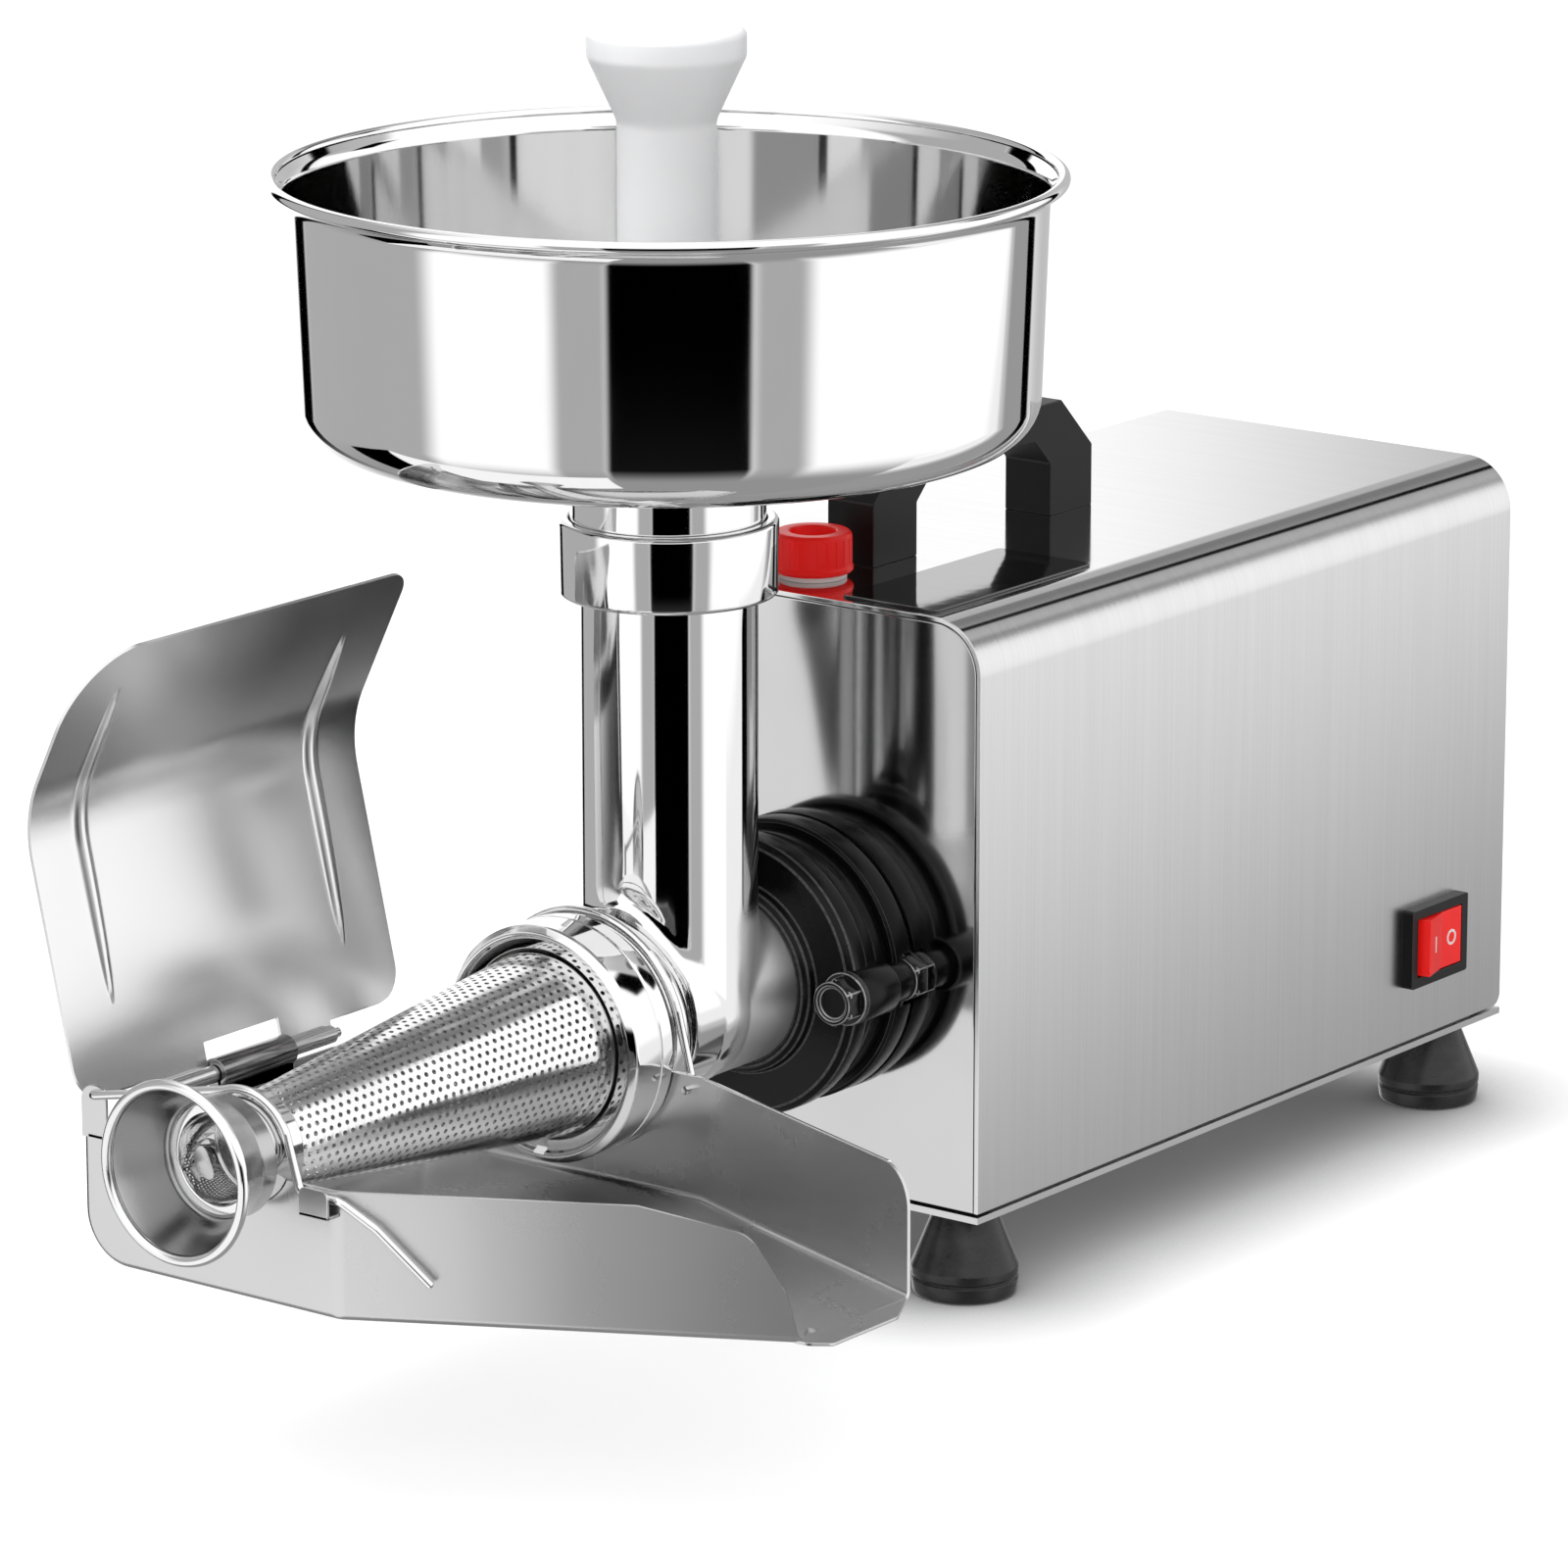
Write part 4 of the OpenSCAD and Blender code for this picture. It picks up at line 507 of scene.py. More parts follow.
def baked(name, obj):
    """The mesh of an object after its modifiers. The object itself goes"""
    bpy.context.view_layer.update()
    mesh = bpy.data.meshes.new_from_object(obj.evaluated_get(bpy.context.evaluated_depsgraph_get()))
    obj.modifiers.clear()
    bpy.data.objects.remove(obj)
    mesh.name = name
    return mesh


def with_modifiers(name, mesh, *makers):
    """A mesh after its modifiers, which are given as (type, settings)"""
    obj = shown(name, mesh)
    for kind, settings in makers:
        mod = obj.modifiers.new(kind, kind)
        for key, value in settings.items():
            setattr(mod, key, value)
    return baked(name, obj)


def rect(u0, v0, u1, v1):
    return [(u0, v0), (u1, v0), (u1, v1), (u0, v1)]


def arc(radius, start, end, count, centre=(0, 0)):
    """Points of an arc from one angle to another, in degrees"""
    angles = [math.radians(start + (end - start) * k / count) for k in range(count + 1)]
    return [(centre[0] + radius * math.cos(a), centre[1] + radius * math.sin(a)) for a in angles]


def circle(radius, count, centre=(0, 0)):
    return arc(radius, 0, 360, count, centre)[:-1]


def rounded(points, radius, steps=4, closed=True):
    """An outline whose corners are rounded, by a radius or by one for each corner"""
    n = len(points)
    radii = radius if isinstance(radius, (list, tuple)) else [radius] * n
    out = []
    for i, p in enumerate(points):
        r = radii[i]
        if r <= 0 or (not closed and i in (0, n - 1)):
            out.append(tuple(p))
            continue
        p = Vector(p)
        a, b = Vector(points[i - 1]) - p, Vector(points[(i + 1) % n]) - p
        turn = a.angle(b)
        if turn > math.pi - 0.02 or turn < 0.02:
            out.append(tuple(p))
            continue
        back = min(r / math.tan(turn / 2), a.length * 0.499, b.length * 0.499)
        r = back * math.tan(turn / 2)
        start, end = p + a.normalized() * back, p + b.normalized() * back
        middle = p + (a.normalized() + b.normalized()).normalized() * (r / math.sin(turn / 2))
        first, last = start - middle, end - middle
        swing = first.angle(last)
        for t in (k / steps for k in range(steps + 1)):
            spoke = first * math.sin((1 - t) * swing) + last * math.sin(t * swing)
            out.append(tuple(middle + spoke / math.sin(swing)))
    return out


def turned(name, profile, axis="reach", centre=(0, AXIS_Z), steps=None, corner=0.0, bend=3, closed=True):
    """A turned piece from an outline of (radius, place along the axis), in millimetres.

    The axis is that of the barrel, which reaches away from the panel, or one that goes up.
    """
    steps = steps or bpy.context.scene.press_sizes.turn_steps
    if corner:
        profile = rounded(profile, corner, bend, closed)

    def point(r, along, angle):
        c, s = r * math.cos(angle), r * math.sin(angle)
        if axis == "reach":
            return at(centre[0] + s, -along, centre[1] + c)
        return at(centre[0] + c, centre[1] + s, along)

    bm = bmesh.new()
    rings = []
    for r, along in profile:
        if r < 1e-6:
            rings.append([bm.verts.new(point(0, along, 0))] * steps)
        else:
            rings.append([bm.verts.new(point(r, along, 2 * math.pi * k / steps)) for k in range(steps)])
    skin(bm, rings, closed)
    return from_bmesh(name, bm)


def rod(name, radius, start, end, axis="reach", centre=(0, AXIS_Z), steps=96, corner=0.0):
    """A round bar"""
    return turned(name, rect(0, start, radius, end), axis, centre, steps, corner, closed=False)


def prism(name, outline, low, high, plane="xy"):
    """A closed block from an outline. A plane or a function puts (u, v, height) in the machine"""
    put = PLANES.get(plane, plane)
    bm = bmesh.new()
    ends = [[bm.verts.new(put(u, v, h)) for u, v in outline] for h in (low, high)]
    for ring in ends:
        bm.faces.new(ring)
    skin(bm, ends)
    return from_bmesh(name, bm)


def joined(name, *meshes):
    bm = bmesh.new()
    for mesh in meshes:
        bm.from_mesh(mesh)
    return from_bmesh(name, bm, fix=False)


def cut(name, mesh, *tools):
    """A mesh with other meshes taken out of it"""
    blocks = [shown("cutter", tool) for tool in tools]
    done = with_modifiers(name, mesh, *[("BOOLEAN", {"operation": "DIFFERENCE", "solver": "EXACT",
                                                     "object": block}) for block in blocks])
    for block in blocks:
        bpy.data.objects.remove(block)
    return done


def cleaned(mesh, reach):
    """Merges points nearer than reach and drops the slivers that a cut or a bevel leaves"""
    bm = bmesh.new()
    bm.from_mesh(mesh)
    bmesh.ops.remove_doubles(bm, verts=bm.verts, dist=reach)
    bmesh.ops.dissolve_degenerate(bm, edges=bm.edges, dist=reach / 2)
    bm.to_mesh(mesh)
    bm.free()
    return mesh


def edged(name, mesh, width, angle, segments=2):
    """A mesh whose edges sharper than an angle are rounded by a bevel, and marked for their wear, which on the
    enamel is also a painted edge highlight
    """
    cleaned(mesh, 0.02 * MM)
    mesh.materials.clear()
    mesh.materials.append(None)
    mesh.materials.append(None)
    mesh.polygons.foreach_set("material_index", [0] * len(mesh.polygons))
    done = with_modifiers(name, mesh, ("BEVEL", {
        "width": width, "segments": segments, "limit_method": "ANGLE", "angle_limit": math.radians(angle),
        "use_clamp_overlap": True, "miter_outer": "MITER_ARC", "harden_normals": False, "material": 1}))
    marks = [float(face.material_index) for face in done.polygons]
    done.attributes.new("edge", "FLOAT", "FACE").data.foreach_set("value", marks)
    done.polygons.foreach_set("material_index", [0] * len(marks))
    return cleaned(done, 0.004 * MM)


def dressed(name, node, material, width=0.3, segments=2):
    """Shows a solid's own mesh, with its loose triangles merged and its edges rounded, in place of it"""
    bm = bmesh.new()
    bm.from_mesh(FRAME["nodes"][node].data)
    bmesh.ops.remove_doubles(bm, verts=bm.verts, dist=2e-6)
    bmesh.ops.dissolve_limit(bm, angle_limit=math.radians(0.5), verts=bm.verts, edges=bm.edges)
    mesh = edged(name, from_bmesh(name, bm), width * MM, 35.0, segments)
    piece(name, mesh, material, node, flat=True)


def wire_mesh(name, points, radius, sides=16):
    """A round wire along a route of points, closed at both ends"""
    bm = bmesh.new()
    route = [Vector(p) for p in points]
    rings = []
    side = None
    for i, p in enumerate(route):
        ahead = (route[min(i + 1, len(route) - 1)] - route[max(i - 1, 0)]).normalized()
        side = (side - ahead * side.dot(ahead)).normalized() if side else ahead.orthogonal().normalized()
        up = ahead.cross(side)
        rings.append([bm.verts.new(at(*(p + (side * math.cos(a) + up * math.sin(a)) * radius)))
                      for a in (2 * math.pi * k / sides for k in range(sides))])
    skin(bm, rings)
    for ring, i, j in ((rings[0], 0, 1), (rings[-1], -1, -2)):
        tip = bm.verts.new(at(*(route[i] + (route[i] - route[j]).normalized() * radius * 0.4)))
        for k in range(sides):
            bm.faces.new([ring[k], ring[(k + 1) % sides], tip])
    return from_bmesh(name, bm)


# Repeated shapes


def new_tree(name, inputs):
    """A Geometry Nodes tree with named inputs: its graph, its group input and its inputs' keys"""
    tree = bpy.data.node_groups.new(name, "GeometryNodeTree")
    tree.interface.new_socket(name="Geometry", in_out="OUTPUT", socket_type="NodeSocketGeometry")
    keys = {}
    for label, kind, default in [("Geometry", "Geometry", None)] + inputs + [("Material", "Material", None)]:
        item = tree.interface.new_socket(name=label, in_out="INPUT", socket_type="NodeSocket" + kind)
        if default is not None:
            item.default_value = default
        keys[label] = item.identifier
    graph = Graph(tree)
    return graph, graph.add("NodeGroupInput"), keys


def close_tree(graph, geometry, group):
    """Ends a tree in real geometry with its material"""
    real = graph.add("GeometryNodeRealizeInstances", {0: geometry})
    done = graph.add("GeometryNodeSetMaterial", {"Geometry": real[0], "Material": group["Material"]})
    graph.add("NodeGroupOutput", {0: done[0]})


def grown(name, made, material, shape, start=None, **values):
    """The plain mesh that a tree makes from its inputs. The shape is the mesh that it repeats"""
    graph, keys = made
    obj = shown(name, start or bpy.data.meshes.new(name))
    mod = obj.modifiers.new("grow", "NODES")
    mod.node_group = graph.tree
    mod[keys["Material"]] = finish(material)
    mod[keys["Shape"]] = bpy.data.objects.new(name + "_shape", shape)
    for label, value in values.items():
        mod[keys[label.replace("_", " ").title()]] = value
    return baked(name, obj)


def at_points_tree():
    """Sets one shape on every point of a mesh"""
    g, group, keys = new_tree("shape_at_each_point", [("Shape", "Object", None)])
    points = g.add("GeometryNodeMeshToPoints", {"Mesh": group["Geometry"]})
    close_tree(g, g.set_on(points, group["Shape"]), group)
    return g, keys


def at_points(name, material, shape, places):
    """One shape on each of some places"""
    spots = bpy.data.meshes.new("spots")
    spots.from_pydata(places, [], [])
    return grown(name, at_points_tree(), material, shape, spots)


def round_row_tree():
    """Sets one shape at even steps round a circle, each turned to face outwards"""
    g, group, keys = new_tree("round_row", [
        ("Shape", "Object", None), ("Count", "Int", 12), ("Radius", "Float", 0.01),
        ("Centre", "Vector", None)])
    line = g.add("GeometryNodeMeshLine", {"Count": group["Count"], "Offset": (0, 0, 0)}, mode="OFFSET")
    angle = g.add("GeometryNodeInputIndex")[0] * (2 * math.pi) / group["Count"]
    ring = g.vector(angle.cos() * group["Radius"], angle.sin() * group["Radius"], 0.0)
    spot = g.add("ShaderNodeVectorMath", {0: ring, 1: group["Centre"]}, operation="ADD")[0]
    points = g.add("GeometryNodeSetPosition", {"Geometry": line[0], "Position": spot})
    close_tree(g, g.set_on(points, group["Shape"], Rotation=g.vector(0.0, 0.0, angle)), group)
    return g, keys


def perforated_cone_tree():
    """A sheet of round holes in staggered rows, clipped to the flat pattern of a cone and rolled up"""
    g, group, keys = new_tree("perforated_cone", [
        ("Shape", "Object", None), ("Pitch", "Float", 0.003), ("Wide Radius", "Float", 0.027),
        ("Tip Radius", "Float", 0.013), ("Length", "Float", 0.12), ("Wall", "Float", 0.0008),
        ("Plain Ends", "Float", 0.002), ("Facing", "Float", 0.0), ("Rows", "Int", 60),
        ("Columns", "Int", 60)])
    pitch, wide, tip, run = group["Pitch"], group["Wide Radius"], group["Tip Radius"], group["Length"]
    fall = wide - tip
    slant = (fall * fall + run * run).root()
    sine, cosine = fall / slant, run / slant
    near, far = tip / sine, wide / sine
    index = g.add("GeometryNodeInputIndex")[0]
    row = (index / group["Columns"]).floor()
    column = index - row * group["Columns"]
    x = near + (column + 0.5 * (row % 2.0)) * pitch
    y = (row - (group["Rows"] / 2.0).floor()) * pitch * math.sqrt(0.75)
    count = group["Rows"] * group["Columns"]
    line = g.add("GeometryNodeMeshLine", {"Count": count, "Offset": (0, 0, 0)}, mode="OFFSET")
    laid = g.add("GeometryNodeSetPosition", {"Geometry": line[0], "Position": g.vector(x, y, 0.0)})
    px, py, _ = g.axes(g.add("GeometryNodeInputPosition")[0])
    away = (px * px + py * py).root()
    turn = abs(py.atan2(px))
    outside = ((near + group["Plain Ends"] > away) + (away > far - group["Plain Ends"])
               + (turn * away > sine * math.pi * away - pitch * 0.6)) > 0.5
    kept = g.add("GeometryNodeDeleteGeometry", {"Geometry": laid[0], "Selection": outside}, domain="POINT")
    # The cell's own pitch is a millimetre
    cells = g.add("GeometryNodeRealizeInstances", {0: g.set_on(kept, group["Shape"], Scale=pitch / MM)})
    flat = g.add("GeometryNodeMergeByDistance", {"Geometry": cells[0], "Distance": pitch * 0.01})
    under = g.add("GeometryNodeExtrudeMesh", {
        "Mesh": g.add("GeometryNodeFlipFaces", {0: flat[0]})[0], "Offset Scale": group["Wall"],
        "Individual": False}, mode="FACES")
    both = g.add("GeometryNodeJoinGeometry", {0: [under[0], flat[0]]})
    sheet = g.add("GeometryNodeMergeByDistance", {"Geometry": both[0], "Distance": pitch * 0.01})
    sx, sy, depth = g.axes(g.add("GeometryNodeInputPosition")[0])
    reach = (sx * sx + sy * sy).root()
    turn = sy.atan2(sx) / sine + group["Facing"]
    radius = reach * sine + depth * cosine
    along = (reach - near) * cosine - depth * sine
    rolled = g.vector(radius * turn.sin(), along, radius * turn.cos())
    done = g.add("GeometryNodeSetPosition", {"Geometry": sheet[0], "Position": rolled})
    close_tree(g, done[0], group)
    return g, keys


# Pieces


class Build(bpy.types.Operator):
    """What every builder shares"""

    bl_options = {"REGISTER", "UNDO"}

    def execute(self, context):
        self.build(context.scene.press_sizes)
        return {"FINISHED"}


# The housing: its middle beside the barrel axis, width, length, underside, top, bend and sheet
MID, WIDE, LONG, LOW, TOP, BEND, SHEET = -8.0, 146.0, 282.0, 30.0, 206.0, 16.0, 1.5
# The vent plug's axis
PLUG = (-11.0, 21.0)


def arch(inset, bend):
    """The housing's outline from one lower corner to the other"""
    left, right = MID - WIDE / 2 + inset, MID + WIDE / 2 - inset
    return rounded([(left, LOW), (left, TOP - inset), (right, TOP - inset), (right, LOW)], bend, 20,
                   closed=False)


class PRESS_OT_housing(Build, bpy.types.Operator):
    """Builds the bent housing shell, the polished front panel, the base and its feet"""

    bl_idname = "press.housing"
    bl_label = "Housing"

    def build(self, sizes):
        outer, inner = arch(0, BEND), arch(SHEET, BEND - SHEET)
        shell = prism("housing_skin", outer + inner[::-1], 0, LONG, "xz")
        opening = prism("opening", rect(226.3, 49.6, 253.7, 71.4), 55, 80, "yz")
        hole = rod("hole", 7.2, 190, 215, "up", PLUG, 48)
        # The shell's lower rear corners are rounded by 4 mm
        corner = [(LONG + 1, LOW - 1), (LONG + 1, LOW + 4)] + arc(4, 0, -90, 8, (LONG - 4, LOW + 4))
        corner = prism("corner", corner + [(LONG - 4, LOW - 1)], -100, 100, "yz")
        shell = edged("housing_skin", cut("housing_skin", shell, opening, hole, corner), sizes.sheet_edge, 50)
        piece("housing_skin", shell, "brushed", "housing_shell", flat=True)
        # The front panel stands 0.2 mm clear inside the shell
        front = arch(SHEET + 0.2, BEND - SHEET - 0.2)
        panel = edged("front_skin", prism("front_skin", front, 0, SHEET, "xz"), 0.4 * MM, 50)
        piece("front_skin", panel, "panel", "front_panel", flat=True)
        dressed("base_skin", "base_plate", "base", 0.3)
        foot = turned("foot", [(0, 0), (15.4, 0), (15.9, 4.9), (15.0, 5.5), (16, 6.2), (16, 8.6), (9.6, 24.5),
                               (9.2, 27), (0, 27)], "up", (-AXIS_X, -PANEL_Y), 64,
                      [0, 1.4, 0.5, 0.5, 0.8, 1.6, 1.0, 0.3, 0], 4, closed=False)
        places = [at(MID + side * 57, y, 0) for side in (-1, 1) for y in (16, 266)]
        piece("foot_set", at_points("foot_set", "rubber", foot, places), "rubber", "feet")


class PRESS_OT_top(Build, bpy.types.Operator):
    """Builds the handle, the bare plate and the vent plug with its washer"""

    bl_idname = "press.top"
    bl_label = "Handle, plate and plug"

    def build(self, sizes):
        dressed("handle_moulding", "handle", "handle", 0.9, 3)
        dressed("plate_gloss", "label_plate", "plate", 0.25)
        head = turned("plug_head", [(0, 207.8), (11.3, 207.8), (11.9, 208.4), (11.9, 209.4), (11.5, 210),
                                    (11.4, 219), (10.6, 219.8), (6.8, 219.8), (6.4, 215.4), (0, 215.2)],
                      "up", PLUG, 96, [0, 0.3, 0.3, 0.3, 0.2, 1.2, 0.8, 0.7, 0.8, 0], 4, closed=False)
        neck = turned("plug_neck", [(0, 196), (5.4, 196), (6.6, 197.5), (6.6, 207.9), (0, 207.9)],
                      "up", PLUG, 64, [0, 0.3, 0.3, 0, 0], closed=False)
        rib = rounded([(-0.7, -0.55), (0.22, -0.40), (0.22, 0.40), (-0.7, 0.55)], 0.2, 2)
        rib = prism("rib", rib, 210.4, 218.2)
        rib.transform(Matrix.Translation(-at(0, 0, 0)))
        ribs = grown("plug_ribs", round_row_tree(), "red", rib, count=sizes.plug_ribs, radius=11.4 * MM,
                     centre=at(*PLUG, 0))
        piece("plug_red", joined("plug_red", head, neck, ribs), "red", "vent_plug")
        washer = turned("plug_washer", rect(7.1, TOP, 10, TOP + 1.5), "up", PLUG, 64, 0.3)
        piece("plug_washer", washer, "gasket", "vent_gasket")


class PRESS_OT_switch(Build, bpy.types.Operator):
    """Builds the switch's bezel and its rocker with both marks"""

    bl_idname = "press.switch"
    bl_label = "Switch"

    def build(self, sizes):
        dressed("bezel_moulding", "switch_bezel", "bezel", 0.5, 3)
        dressed("rocker_moulding", "switch_rocker", "rocker", 0.4, 3)
        bar = rounded(rect(-0.45, -2.6, 0.45, 2.6), 0.3, 3)
        ring = (circle(2.5, 40), circle(1.7, 40))
        for name, half, loops in (("mark_off", 1, ring), ("mark_on", -1, (bar,))):
            piece(name, self.raised(name, half, *loops), "mark", "switch_rocker", stands_in=False)

    def raised(self, name, half, outer, inner=None):
        """A thin raised mark on the rocker's rear (1) or front (-1) half, a ring where it has an inner outline"""
        low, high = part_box("switch_rocker")
        faces = [f for f in FRAME["nodes"]["switch_rocker"].data.polygons
                 if f.normal.x > 0.9 and (f.center.y - (low.y + high.y) / 2) * half > 0]
        centre = sum((f.center * f.area for f in faces), Vector()) / sum(f.area for f in faces)
        facing = sum((f.normal * f.area for f in faces), Vector()).normalized()
        side = Vector((0, 0, 1)).cross(facing).normalized()
        up = facing.cross(side)
        bm = bmesh.new()

        def loop(outline, height):
            return [bm.verts.new(centre + (side * u + up * v + facing * height) * MM) for u, v in outline]

        sunk, proud = -0.2, 0.12
        loops = [loop(outer, sunk), loop(outer, proud)]
        if inner:
            loops += [loop(inner, proud), loop(inner, sunk)]
        skin(bm, loops, bool(inner))
        if not inner:
            bm.faces.new(loops[0])
            bm.faces.new(loops[1])
        return from_bmesh(name, bm)


class PRESS_OT_flanges(Build, bpy.types.Operator):
    """Builds the two black flanges and the bolts that join them"""

    bl_idname = "press.flanges"
    bl_label = "Flanges"

    def build(self, sizes):
        rear = [(31, -1.2), (40, 0.05), (42, 1), (42, 8.2), (41, 8.7), (37, 8.7), (37, 9.7), (39.5, 9.7),
                (39.5, 14.5), (25.1, 14.5), (25.1, -1.2)]
        front = [(25.1, 14.5), (39.5, 14.5), (39.5, 20.3), (37, 20.3), (37, 21.3), (41, 21.3), (42, 21.9),
                 (42, 28), (40, 30), (29, 30), (28.4, 32.6), (26.6, 34), (25.1, 34)]
        # The lugs and their bolts stand beside the axis on both sides
        lugs = [(side * 40, AXIS_Z) for side in (-1, 1)]
        pockets = [rod("pocket", 7.9, -2, 5, centre=lug, steps=48) for lug in lugs]
        for name, ring, start, end, lug_r in (("rear", rear, 5, 14.5, 6), ("front", front, 14.5, 30, 8)):
            ring = turned(name + "_ring", ring)
            if name == "rear":
                ring = cut(name + "_ring", ring, *pockets)
            ears = [edged("lug", rod("lug", lug_r, start, end, centre=lug, steps=64), 0.5 * MM, 50)
                    for lug in lugs]
            mesh = joined(name + "_flange_black", edged("ring", ring, 0.45 * MM, 25), *ears)
            piece(name + "_flange_black", mesh, "enamel", name + "_flange")
        washer = turned("washer", rect(3.8, 30, 7.9, 31.6), steps=64)
        bolt = joined("bolt", edged("washer", washer, 0.4 * MM, 50), hexagon("head", 7.4, 31.6, 37.6),
                      hexagon("nut", 7.5, 0.05, 5))
        bolt.transform(Matrix.Translation(-at(0, 0, AXIS_Z)))
        places = [at(x, 0, z) for x, z in lugs]
        piece("bolt_set", at_points("bolt_set", "bolt", bolt, places), "bolt", "flange_bolts")


def hexagon(name, radius, start, end):
    """A hexagon head whose corners are turned down at its face, along the barrel"""
    sides = 48
    bm = bmesh.new()
    rings = []
    # Each ring: its reach, and its radius where it is round
    for reach, r in ((start, None), (end - 1.2, None), (end, radius * 0.86), (end, radius * 0.7),
                     (end - 0.9, radius * 0.62)):
        ring = []
        for a in (2 * math.pi * k / sides for k in range(sides)):
            flat = radius * math.cos(math.pi / 6) / math.cos((a % (math.pi / 3)) - math.pi / 6)
            ring.append(bm.verts.new(at((r or flat) * math.sin(a), -reach,
                                        AXIS_Z + (r or flat) * math.cos(a))))
        rings.append(ring)
    skin(bm, rings)
    bm.faces.new(rings[0])
    bm.faces.new(rings[-1])
    return edged(name, from_bmesh(name, bm), 0.3 * MM, 24)


def casting_distance(p, fillet):
    """How far points stand outside the casting: a tube and a flared barrel with a fillet between them"""
    tube_r, barrel_r, flare, flare_start, flare_run = 25.5, 25.0, 8.0, 80.0, 16.0
    x, y, z = p[:, 0], p[:, 1], p[:, 2]
    dz = z - AXIS_Z
    tube = np.sqrt(x ** 2 + (y + TUBE) ** 2 + np.minimum(dz, 0) ** 2) - tube_r
    t = np.clip((-y - flare_start) / flare_run, 0, 1)
    rho = np.sqrt(x ** 2 + dz ** 2)
    barrel = rho - (barrel_r + flare * t * t * (3 - 2 * t))
    barrel = barrel / np.sqrt(1 + (flare / flare_run * 6 * t * (1 - t)) ** 2)
    lean = np.clip(np.abs(x) / np.maximum(rho, 1e-6), 0, 1)
    lean = lean * np.clip(np.abs(x) / np.maximum(tube + tube_r, 1e-6), 0, 1)
    k = 1e-3 + fillet * (1 - lean) * np.clip((dz + 4) / 14, 0, 1)
    h = np.maximum(k - np.abs(tube - barrel), 0) / k
    return np.minimum(tube, barrel) - h * h * k / 4


def array_of(items, name, width, kind=float):
    """One attribute of all vertices or edges, a row for each"""
    out = np.empty(len(items) * width, kind)
    items.foreach_get(name, out)
    return out.reshape(-1, width)


class PRESS_OT_casting(Build, bpy.types.Operator):
    """Builds the polished casting: barrel, feed tube, fillet, collar and thread"""

    bl_idname = "press.casting"
    bl_label = "Casting"

    def build(self, sizes):
        self.skin(sizes.fillet / MM)
        top = COLLAR_TOP
        collar = turned("casting_collar", [
            (25.3, top - 22), (31.5, top - 22), (31.5, top), (28.25, top), (28.25, top - 16.5),
            (23, top - 16.5), (23, 121), (24.5, 121), (24.5, top - 20), (25.3, top - 20)],
            "up", FEED, corner=[0, 1.4, 1.4, 0.5, 0.2, 0.4, 0.2, 0.2, 0, 0], bend=5)
        piece("casting_collar", collar, "polished", "press_body", stands_in=False)
        end = turned("casting_thread", [
            (21.5, 90), (32.6, 96.6), (33.05, 97), (33.05, 101), (31, 101), (31, 113), (21.5, 113)],
            corner=[0, 0.3, 0.6, 0.8, 0.3, 0.8, 0.3], bend=4)
        piece("casting_thread", end, "polished", "press_body", stands_in=False)

    def skin(self, fillet):
        """The cast skin: both bars remeshed as one, eased, and drawn onto the casting's own shape"""
        tube = rod("tube", 25.6, AXIS_Z, 222, "up", FEED)
        barrel = turned("barrel", [(0, 12), (25.2, 12), (25.2, 80), (33, 96), (33, 99), (0, 99)], steps=96,
                        closed=False)
        rough = with_modifiers("casting_skin", joined("rough", tube, barrel), (
            "REMESH", {"mode": "VOXEL", "voxel_size": 1.4 * MM, "adaptivity": 0.0}))
        shift = np.array(at(0, 0, 0)) / MM
        p = array_of(rough.vertices, "co", 3) / MM - shift
        edges = array_of(rough.edges, "vertices", 2, int)
        links = np.bincount(edges.ravel(), minlength=len(p))[:, None]
        held = (-p[:, 1] > 96.5) | (-p[:, 1] < 14) | (p[:, 2] > 219.5)

        def slope(q, half=0.05):
            return np.stack([(casting_distance(q + e, fillet) - casting_distance(q - e, fillet)) / (2 * half)
                             for e in np.eye(3) * half], axis=1)

        for ease in [0.5] * 10 + [0.0] * 4:
            total = np.zeros_like(p)
            np.add.at(total, edges[:, 0], p[edges[:, 1]])
            np.add.at(total, edges[:, 1], p[edges[:, 0]])
            eased = p + (total / links - p) * ease
            eased[held] = p[held]
            p = eased
            for _ in range(2):
                g = slope(p)
                move = casting_distance(p, fillet)[:, None] * g / np.maximum((g * g).sum(1), 0.2)[:, None]
                move[held] = 0
                p = p - np.clip(move, -3, 3)
        normals = slope(p)
        normals /= np.maximum(np.linalg.norm(normals, axis=1), 1e-9)[:, None]
        rough.vertices.foreach_set("co", ((p + shift) * MM).ravel())
        rough.update()
        normals[held] = array_of(rough.vertices, "normal", 3)[held]
        bm = bmesh.new()
        bm.from_mesh(rough)
        layer = bm.verts.layers.float_vector.new("field")
        for v, n in zip(bm.verts, normals):
            v[layer] = n
        # The tube's end face goes, because the collar covers it
        lid = [f for f in bm.faces if (f.calc_center_median() / MM - Vector(shift)).z > 220.5]
        bmesh.ops.delete(bm, geom=lid, context="FACES")
        mesh = bpy.data.meshes.new("casting_skin")
        field = [tuple(v[layer]) for v in bm.verts]
        bm.verts.layers.float_vector.remove(layer)
        bm.to_mesh(mesh)
        bm.free()
        mesh.polygons.foreach_set("use_smooth", [True] * len(mesh.polygons))
        mesh.normals_split_custom_set_from_vertices(field)
        piece("casting_skin", mesh, "casting", "press_body")


# The screen's reach at its foot and tip, and its radius there
FOOT, TIP, FOOT_R, TIP_R = 116.5, 244, 27.0, 13.2
SLOPE = (FOOT_R - TIP_R) / (TIP - FOOT)


